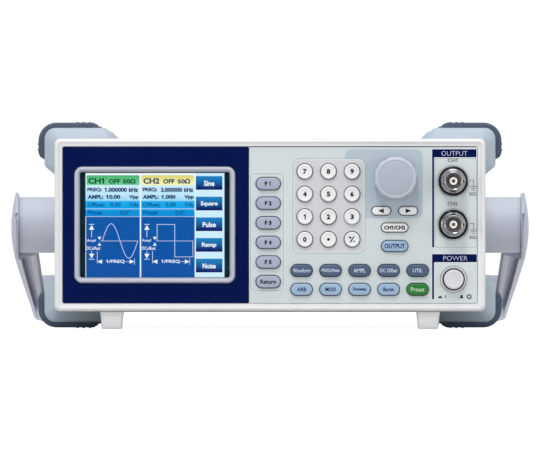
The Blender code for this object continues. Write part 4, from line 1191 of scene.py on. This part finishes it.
def half_height(u):
    """Half the arm's height, at a distance along it."""
    return HUB_HALF - (HUB_HALF - END_HALF) * u / (GRIP_OUTER - 7)


def handle_half():
    """Stations from a hub to the middle of the grip: inner and outer points, edges, and how far the station
    is channelled, set back and leaning."""
    hub = []
    for degrees in (6, 14, 24, 36, 50, 66, 82):
        angle = math.radians(degrees)
        hub.append((-HUB_HALF * math.cos(angle), HUB_HALF * math.sin(angle)))
    hub += [(u, half_height(u)) for u in (0.0, 3.0, 6.0)]
    stations = [((HUB_INNER, u), (arm_outer(u), u), -half, half, 0.0, 0.0, 0.0) for u, half in hub]
    for u in (6.6, DRUM_RADIUS, 22, 32, 45, 60, 75, 90, 105):
        half = half_height(u)
        step = STEP - 1.2 * u / 105.0
        stations.append(((arm_inner(u), u), (arm_outer(u), u), -half, half, 1.0, step, 1.0))
    for inner_u, outer_u, channel in [(113, 119, 0.9), (118, 131, 0.45), (121, 138, 0.1), (126, 147, 0.0)]:
        half = half_height(inner_u)
        step = STEP * 0.5 * min(2 * channel, 1.0)
        inner, outer = (ARM_END_INNER, inner_u), (arm_outer(outer_u), outer_u)
        stations.append((inner, outer, -half, half, channel, step, 1.0))
    corner, inner_corner = 7.0, 9.0
    outer_centre = (arm_outer(GRIP_OUTER - corner) - corner, GRIP_OUTER - corner)
    inner_centre = (ARM_END_INNER - inner_corner, GRIP_INNER - inner_corner)
    for turn in range(9):
        angle = math.radians(90 * turn / 8)
        way = Vector((math.cos(angle), math.sin(angle)))
        inner = tuple(Vector(inner_centre) + inner_corner * way)
        outer = tuple(Vector(outer_centre) + corner * way)
        stations.append((inner, outer, -END_HALF, END_HALF, 0.0, 0.0, 1 - turn / 8))
    for turn in range(1, 19):
        x = GRIP_HALF * (1 - turn / 18)
        share = min((GRIP_HALF - x) / 26.0, 1.0)
        low = GRIP_ARCH * share ** 2 * (3 - 2 * share) - END_HALF
        stations.append(((x, GRIP_INNER), (x, GRIP_OUTER), low, END_HALF, 0.0, 0.0, 0.0))
    return stations


def handle_ring(inner, outer, low, high, channel, step, lean, grip):
    """One closed section of the handle: a domed outer plate, and an inner part set back and channelled."""
    width = math.hypot(outer[0] - inner[0], outer[1] - inner[1])
    tall = high - low
    middle_v = (high + low) / 2
    round_top = min(5.0 * grip + 1.5 * (1 - grip), tall * 0.45)
    round_low = min(4.0 * grip + 0.8 * (1 - grip), tall * 0.3)
    plate_share = 0.71
    wall_top = low + step + LOW_WALL
    upright_side = arc(round_top, high - step - round_top, round_top, 180, 90, 6)
    leaning_side = [(0.0, wall_top - 0.4), (0.0, wall_top)]
    leaning_side += [(0.13 * i * width, wall_top + 0.2 * i * (high - step - wall_top)) for i in range(1, 6)]
    points = []
    for plain, leaning in zip(upright_side, leaning_side):
        points.append(tuple(a + lean * (b - a) for a, b in zip(plain, leaning)))
    points += [(width * plate_share, high - step), (width * (plate_share + 0.01), high - step * 0.1)]
    points += arc(width - round_top, high - round_top, round_top, 90, 0, 6)
    points += [(width, middle_v + 0.3 * tall), (width, middle_v + 0.1 * tall)]
    points += [(width, middle_v - 0.1 * tall), (width, middle_v - 0.3 * tall)]
    points += arc(width - round_low, low + round_low, round_low, 0, -90, 5)
    deep, shallow = 4.6 * channel, 3.0 * channel
    marks = [(0.70, 0), (0.685, step + deep), (0.52, step + deep), (0.50, step + shallow)]
    marks += [(0.33, step + shallow), (0.315, step + shallow), (0.30, step + 0.3 * shallow), (0.285, step)]
    points += [(width * share, low + min(rise, tall * 0.8)) for share, rise in marks]
    points += arc(round_low, low + step + round_low, round_low, -90, -180, 5)
    ring = []
    for s, v in points:
        share = s / width
        crown = (1 - grip) * OUTER_CROWN * (v - middle_v) ** 2 * max(share, 0.0) ** 2
        x = inner[0] + (outer[0] - inner[0]) * share - crown
        u = inner[1] + (outer[1] - inner[1]) * share
        ring.append((x, u, v))
    return ring


def swing(shape):
    """Turns a shape made in the handle's own plane to where the handle rests."""
    bmesh.ops.rotate(shape, verts=shape.verts, cent=(0, 0, 0), matrix=Matrix.Rotation(-TILT, 3, "X"))
    bmesh.ops.translate(shape, verts=shape.verts, vec=(0, HUB_DEPTH, 0))
    return shape


def turned_sideways(profile, side, shape=None, segments=64, capped=True):
    """A solid turned about the handle's axis, before swing(). The profile is (distance out, radius)."""
    rings = [[(side * out, y, z) for y, z in circle((0, 0), radius, segments)] for out, radius in profile]
    return loft(rings, capped, shape)


def add_handle():
    """The carry handle: domed, channelled arms, the grip, and the drums that turn on the pivots."""
    half = handle_half()
    rings = []
    for station in half:
        grip = min(max((station[1][1] - 125.0) / 36.0, 0.0), 1.0)
        rings.append(handle_ring(*station, grip))
    rings += [[(-x, u, v) for x, u, v in ring] for ring in reversed(rings[:-1])]
    shape = loft(rings)
    for side in (-1, 1):
        drum = [(110.0, 13.3), (110.25, 14.0), (110.9, 14.4), (113.0, DRUM_RADIUS), (129.7, DRUM_RADIUS)]
        drum += [(129.85, 14.1), (130.7, 14.1), (130.7, 9.0), (110.0, 9.0)]
        turned_sideways(drum, side, shape, 72, capped=False)
        turned_sideways([(119.8, 9.2), (120.5, 9.2)], side, shape)
    piece("handle_moulding", swing(shape), HANDLE_PLASTIC, ["handle"], "handle", 42.0)


def add_pivots():
    """The fixed hubs that the handle turns on."""
    profile = [(101.0, 5.0), (106.3, 5.0), (106.3, 15.0), (106.5, 15.2), (109.2, 15.2), (109.6, 14.9)]
    profile += [(109.6, 8.6), (118.8, 8.6), (119.2, 8.2)]
    for name, side in (("handle_pivot_left", -1), ("handle_pivot_right", 1)):
        shape = swing(turned_sideways(profile, side))
        piece(f"{name}_hub", shape, DARK_PLASTIC, [name])


# ---------------------------------------------------------------- rear and inside

REAR_FACE = span("rear_panel")[1].y
INLET = middle("mains_inlet")
REAR_SOCKETS = [(30.0, -19.0), (55.0, -19.0), (80.0, -19.0)]
USB = (4.0, -21.9)
BOARD = 1.6  # thickness of the circuit boards
BOARD_TOP, SUPPLY_TOP = -28.4, -34.4  # heights of their upper faces


def add_rear_panel():
    """The rear sheet with its openings and two rows of vent slots."""
    low, high = span("rear_panel")
    holes = [box_round(INLET, 14.1, 10.1, 1.0), box_round(USB, 6.3, 5.8, 0.6)]
    holes += [circle(centre, 6.6) for centre in REAR_SOCKETS]
    holes += [slot_outline(34.0 + 5 * i, 36.2 + 5 * i, 4.0, 30.0) for i in range(12)]
    shape = plate(rounded_box(low.x, high.x, low.z, high.z, 1.0), holes, low.y, high.y)
    piece("rear_sheet", shape, COVER_PAINT, ["rear_panel"])


def add_inlet():
    """Mains inlet: flange, hollow shroud and three blades."""
    x, z = INLET
    face = span("mains_inlet")[1].y
    mouth = box_round(INLET, 12.2, 8.1, 1.6)
    rings = []
    for inset, depth in [(0.0, REAR_FACE + WALL_GAP), (0.0, face - 0.6), (0.5, face)]:
        rings.append(ring_at(box_round(INLET, 25 - inset, 11.5 - inset, 3), depth))
    shape = loft(rings + [ring_at(mouth, face), ring_at(mouth, face - 16.0)])
    body = box_round(INLET, 13.8, 9.8, 1.5)
    loft([ring_at(body, 209.0), ring_at(body, face - 17.0)], shape=shape)
    outer_rim = box_round(INLET, 13.0, 8.9, 2.0)
    rim = [ring_at(outer_rim, face), ring_at(outer_rim, face + 0.7), ring_at(mouth, face + 0.7)]
    loft([*rim, ring_at(mouth, face)], capped=False, shape=shape)
    piece("inlet_body", shape, DARK_PLASTIC, ["mains_inlet"])
    blades = bmesh.new()
    for blade_x, blade_z in ((x - 7.0, z - 1.6), (x, z + 3.0), (x + 7.0, z - 1.6)):
        sides, ends = (blade_x - 1, blade_x + 1), (blade_z - 2, blade_z + 2)
        box(blades, sides, (face - 17, face - 5.5), ends, 0.35)
    piece("inlet_blades", blades, NICKEL)


def add_signal_board():
    """The signal board with its shields, fins, chips and cans."""
    low, high = span("main_board")
    x, z = USB
    top = BOARD_TOP
    board = box(bmesh.new(), (low.x, high.x), (low.y, 229.5), (top - BOARD, top), 0.1)
    piece("signal_board", board, BOARD_GREEN, ["main_board"])
    shields = bmesh.new()
    box(shields, (-20.0, 45.0), (70.0, 130.0), (top, top + 12.0), 0.8)
    box(shields, (60.0, 90.0), (80.0, 120.0), (top, top + 9.0), 0.8)
    for i in range(6):
        box(shields, (62.0 + 4.5 * i, 64.0 + 4.5 * i), (82.0, 118.0), (top + 9.0, top + 13.0), 0.2)
    box(shields, (x - 6, x + 6), (216.0, 233.0), (z - 5.5, z + 5.5), 0.4)
    for socket_x, socket_z in REAR_SOCKETS:
        box(shields, (socket_x - 7.0, socket_x + 7.0), (214.0, 230.0), (top, socket_z + 7.0), 0.5)
    piece("board_shields", shields, NICKEL)
    chips = bmesh.new()
    for i in range(6):
        chip_x = -30.0 + 21.0 * i
        box(chips, (chip_x, chip_x + 9.0), (150.0, 159.0), (top, top + 1.6), 0.2)
        box(chips, (chip_x, chip_x + 5.0), (176.0, 182.0), (top, top + 1.4), 0.2)
        turned_upright(chips, (chip_x + 3.0, 196.0), 3.2, top, top + 9.0)
    box(chips, (x - 4.3, x + 4.3), (228.0, 233.15), (z - 3.8, z + 3.8), 0.2)
    piece("board_chips", chips, DARK_PLASTIC)


def add_usb_socket():
    """The rear USB socket's rolled rim and its tongue."""
    x, z = USB
    rings = []
    section = [(0.0, 232.5), (0.0, 233.5), (0.25, 233.6), (1.6, 233.6), (1.8, 233.4), (1.8, 232.5)]
    for inset, depth in section:
        rings.append(ring_at(box_round(USB, 6 - inset, 5.5 - inset, max(1.0 - inset, 0.3)), depth))
    piece("usb_shell", loft(rings, capped=False), NICKEL)
    tongue = box(bmesh.new(), (x - 2.8, x + 2.8), (231.0, 233.3), (z - 1.6, z + 1.6), 0.2)
    piece("usb_tongue", tongue, INSULATOR)


def add_rear_sockets():
    """The three rear bayonet sockets."""
    sockets = bmesh.new()
    for number, centre in enumerate(REAR_SOCKETS):
        rings = [(229.0, 6.2), (REAR_FACE + 0.1, 6.2), (REAR_FACE + 0.1, 7.6), (234.6, 7.6), (234.9, 7.2)]
        rings += [(235.0, 4.85), (242.7, 4.85), (243.0, 4.5), (242.8, 4.1), (236.0, 4.0), (236.0, 1.0)]
        turned(rings, centre, 56, sockets)
        for side in (-1, 1):
            x = centre[0] + side * 5.1
            box(sockets, (x - 0.6, x + 0.6), (239.2, 240.9), (centre[1] - 0.9, centre[1] + 0.9), 0.25)
        bnc_core(centre, 231.9, 1, f"rear_socket_{number + 1}", GOLD)
    piece("rear_sockets", sockets, NICKEL)


def add_supply_board():
    """The mains supply's board with its transformer, cans and heat sinks."""
    low, high = span("power_supply")
    top = SUPPLY_TOP
    supply = box(bmesh.new(), (low.x, high.x), (low.y, high.y), (top - BOARD, top), 0.1)
    piece("supply_board", supply, BOARD_TAN, ["power_supply"])
    dark = bmesh.new()
    box(dark, (-84.0, -56.0), (130.0, 160.0), (top, top + 20.0), 1.2)
    turned_upright(dark, (-64.0, 118.0), 6.5, top, top + 22.0)
    turned_upright(dark, (-80.0, 118.0), 6.5, top, top + 22.0)
    box(dark, (-84.0, -62.0), (172.0, 194.0), (top, top + 12.0), 0.8)
    piece("supply_parts", dark, DARK_PLASTIC)
    fins = bmesh.new()
    for x0, x1, y1 in ((-96.0, -94.5, 190.0), (-48.0, -46.5, 150.0)):
        box(fins, (x0, x1), (112.0, y1), (top, top + 28.0), 0.2)
        for i in range(int((y1 - 112) / 6)):
            box(fins, (x0 - 0.1, x1 + 2.2), (113.0 + 6 * i, 114.2 + 6 * i), (top + 4, top + 28.0), 0.15)
    box(fins, (-80.0, -60.0), (128.5, 161.5), (top + 3, top + 17.0), 1.0)
    piece("supply_metal", fins, SCREW_STEEL)


def turned_upright(shape, centre, radius, low, high):
    """An upright can, such as a capacitor."""
    profile = [(low, radius), (high - 0.8, radius), (high - 0.2, radius - 0.3), (high, radius - 1.0)]
    loft([ring_level(circle(centre, r, 28), z) for z, r in profile], shape=shape)


def dress_cad():
    """Finishes for the CAD nodes that stay shown, all inside the case."""
    for name, material, slot in [
        ("keypad_board", BOARD_GREEN, "circuit_board"),
        ("lcd_module", DARK_PLASTIC, "lcd_panel"),
        ("power_switch", DARK_PLASTIC, "black_plastic"),
    ]:
        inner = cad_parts[name]
        inner.data.materials.clear()
        inner.data.materials.append(material)


# ---------------------------------------------------------------- studio

CAMERA_DISTANCE = 5.0
LENS_MM, SENSOR_MM = 656.2, 36.0


def add_world():
    """White at the horizon and dimmer above: the background is white and the light has a direction."""
    world = bpy.data.worlds.new("studio")
    bpy.context.scene.world = world
    world.use_nodes = True
    tree = world.node_tree
    sky = tree.nodes["Background"]
    strength = spread(tree, height_in(tree, "Generated"), 1.03, 0.74, 0.06, 0.30)
    tree.links.new(strength, sky.inputs["Strength"])
    sky.inputs["Color"].default_value = (1.0, 1.0, 1.0, 1.0)


def add_floor():
    """A pale floor, with a thin bright veil over it that only the camera sees, as white as the background.
    The object's shadow shows faintly through the veil, and the veil lights nothing. A dark card behind the
    camera gives the metal something to reflect, and a reflector under each arm lights it from below."""
    floor_paint = surface("studio_floor", (0.60, 0.60, 0.60), 0.8, 0.02, 3.0, 0.004, shine=0.1)
    card_paint = surface("studio_card", (0.02, 0.02, 0.02), 0.9, shine=0.0)
    veil_glow = plain_glow("studio_veil", 1.40, 0.68)
    floor_size = (60, 60)
    floor = stage_plane("studio_floor", (0, 0, -0.0004), floor_size, floor_paint)
    veil = stage_plane("studio_veil", (0, 0, -0.0002), floor_size, veil_glow)
    for ray in ("diffuse", "glossy", "transmission", "volume_scatter", "shadow"):
        setattr(veil, f"visible_{ray}", False)
    card = stage_plane("studio_flag", (0, -10.6, 1.5), (6, 4), card_paint)
    card.rotation_euler.x = math.radians(90)
    reflector_paint = plain_glow("studio_reflector", 1.0)
    for side, name in ((-1, "left_reflector"), (1, "right_reflector")):
        reflector = stage_plane(name, (side * 0.165, PANEL.y + 0.17, 0.0005), (0.09, 0.2), reflector_paint)
        reflector.visible_camera = False


def plain_glow(name, strength, alpha=1.0):
    """White that shines evenly by itself and takes no other light."""
    black, white = (0.0, 0.0, 0.0, 1.0), (1.0, 1.0, 1.0, 1.0)
    shine = {"Emission_Color": white, "Emission_Strength": strength}
    return new_material(name, Base_Color=black, Specular_IOR_Level=0.0, Alpha=alpha, **shine)[0]


def stage_plane(name, place, size, material):
    """A flat sheet of the studio, lying level."""
    half_x, half_y = size[0] / 2, size[1] / 2
    shape = bmesh.new()
    corners = [(-half_x, -half_y, 0), (half_x, -half_y, 0), (half_x, half_y, 0), (-half_x, half_y, 0)]
    shape.faces.new([shape.verts.new(corner) for corner in corners])
    mesh = bpy.data.meshes.new(name)
    shape.to_mesh(mesh)
    shape.free()
    mesh.materials.append(material)
    made = bpy.data.objects.new(name, mesh)
    made.location = place
    bpy.context.scene.collection.objects.link(made)
    return made


def add_light(name, place, size, power):
    """A square lamp that is aimed at the panel's middle height."""
    light = bpy.data.lights.new(name, "AREA")
    light.size = size
    light.energy = power
    lamp = bpy.data.objects.new(name, light)
    lamp.location = place
    aim = Vector((0, 0, PANEL.z)) - Vector(place)
    lamp.rotation_euler = aim.to_track_quat("-Z", "Y").to_euler()
    bpy.context.scene.collection.objects.link(lamp)


def add_camera():
    """The camera, square to the front panel."""
    data = bpy.data.cameras.new("camera")
    data.sensor_width = SENSOR_MM
    data.lens = LENS_MM
    data.clip_end = 60.0
    data.dof.use_dof = False
    camera = bpy.data.objects.new("camera", data)
    camera.location = (0.0, PANEL.y - CAMERA_DISTANCE, PANEL.z)
    camera.rotation_euler = (math.radians(90), 0, 0)
    bpy.context.scene.collection.objects.link(camera)
    bpy.context.scene.camera = camera
    bpy.context.scene.view_settings.view_transform = "Standard"


add_bezel()
add_sheet("display_sheet", "display_overlay", [frame_outline(-0.3, 4.0)], NAVY_FILM)
control_holes = [KNOB_HOLE, POWER_HOLE, *SOCKET_HOLES, *key_holes()]
add_sheet("control_sheet", "control_overlay", control_holes, PALE_FILM)
add_areas()
add_grooves()
add_prints()
add_keys()
add_knob()
add_power()
add_output_connectors()
add_screen()
add_screen_writing()
add_window()
add_cover()
add_chassis()
add_bumper("front_bumper")
add_bumper("rear_bumper")
add_feet()
add_screws()
add_handle()
add_pivots()
add_rear_panel()
add_inlet()
add_signal_board()
add_usb_socket()
add_rear_sockets()
add_supply_board()
dress_cad()
add_world()
add_floor()
add_light("key_light", (-0.30, -2.0, 2.3), 0.6, 27.0)
add_light("top_light", (0.1, -0.3, 2.3), 1.4, 14.0)
add_light("left_fill", (-1.5, -1.6, 0.25), 0.8, 6.0)
add_light("right_fill", (1.5, -1.6, 0.25), 0.8, 6.0)
add_camera()
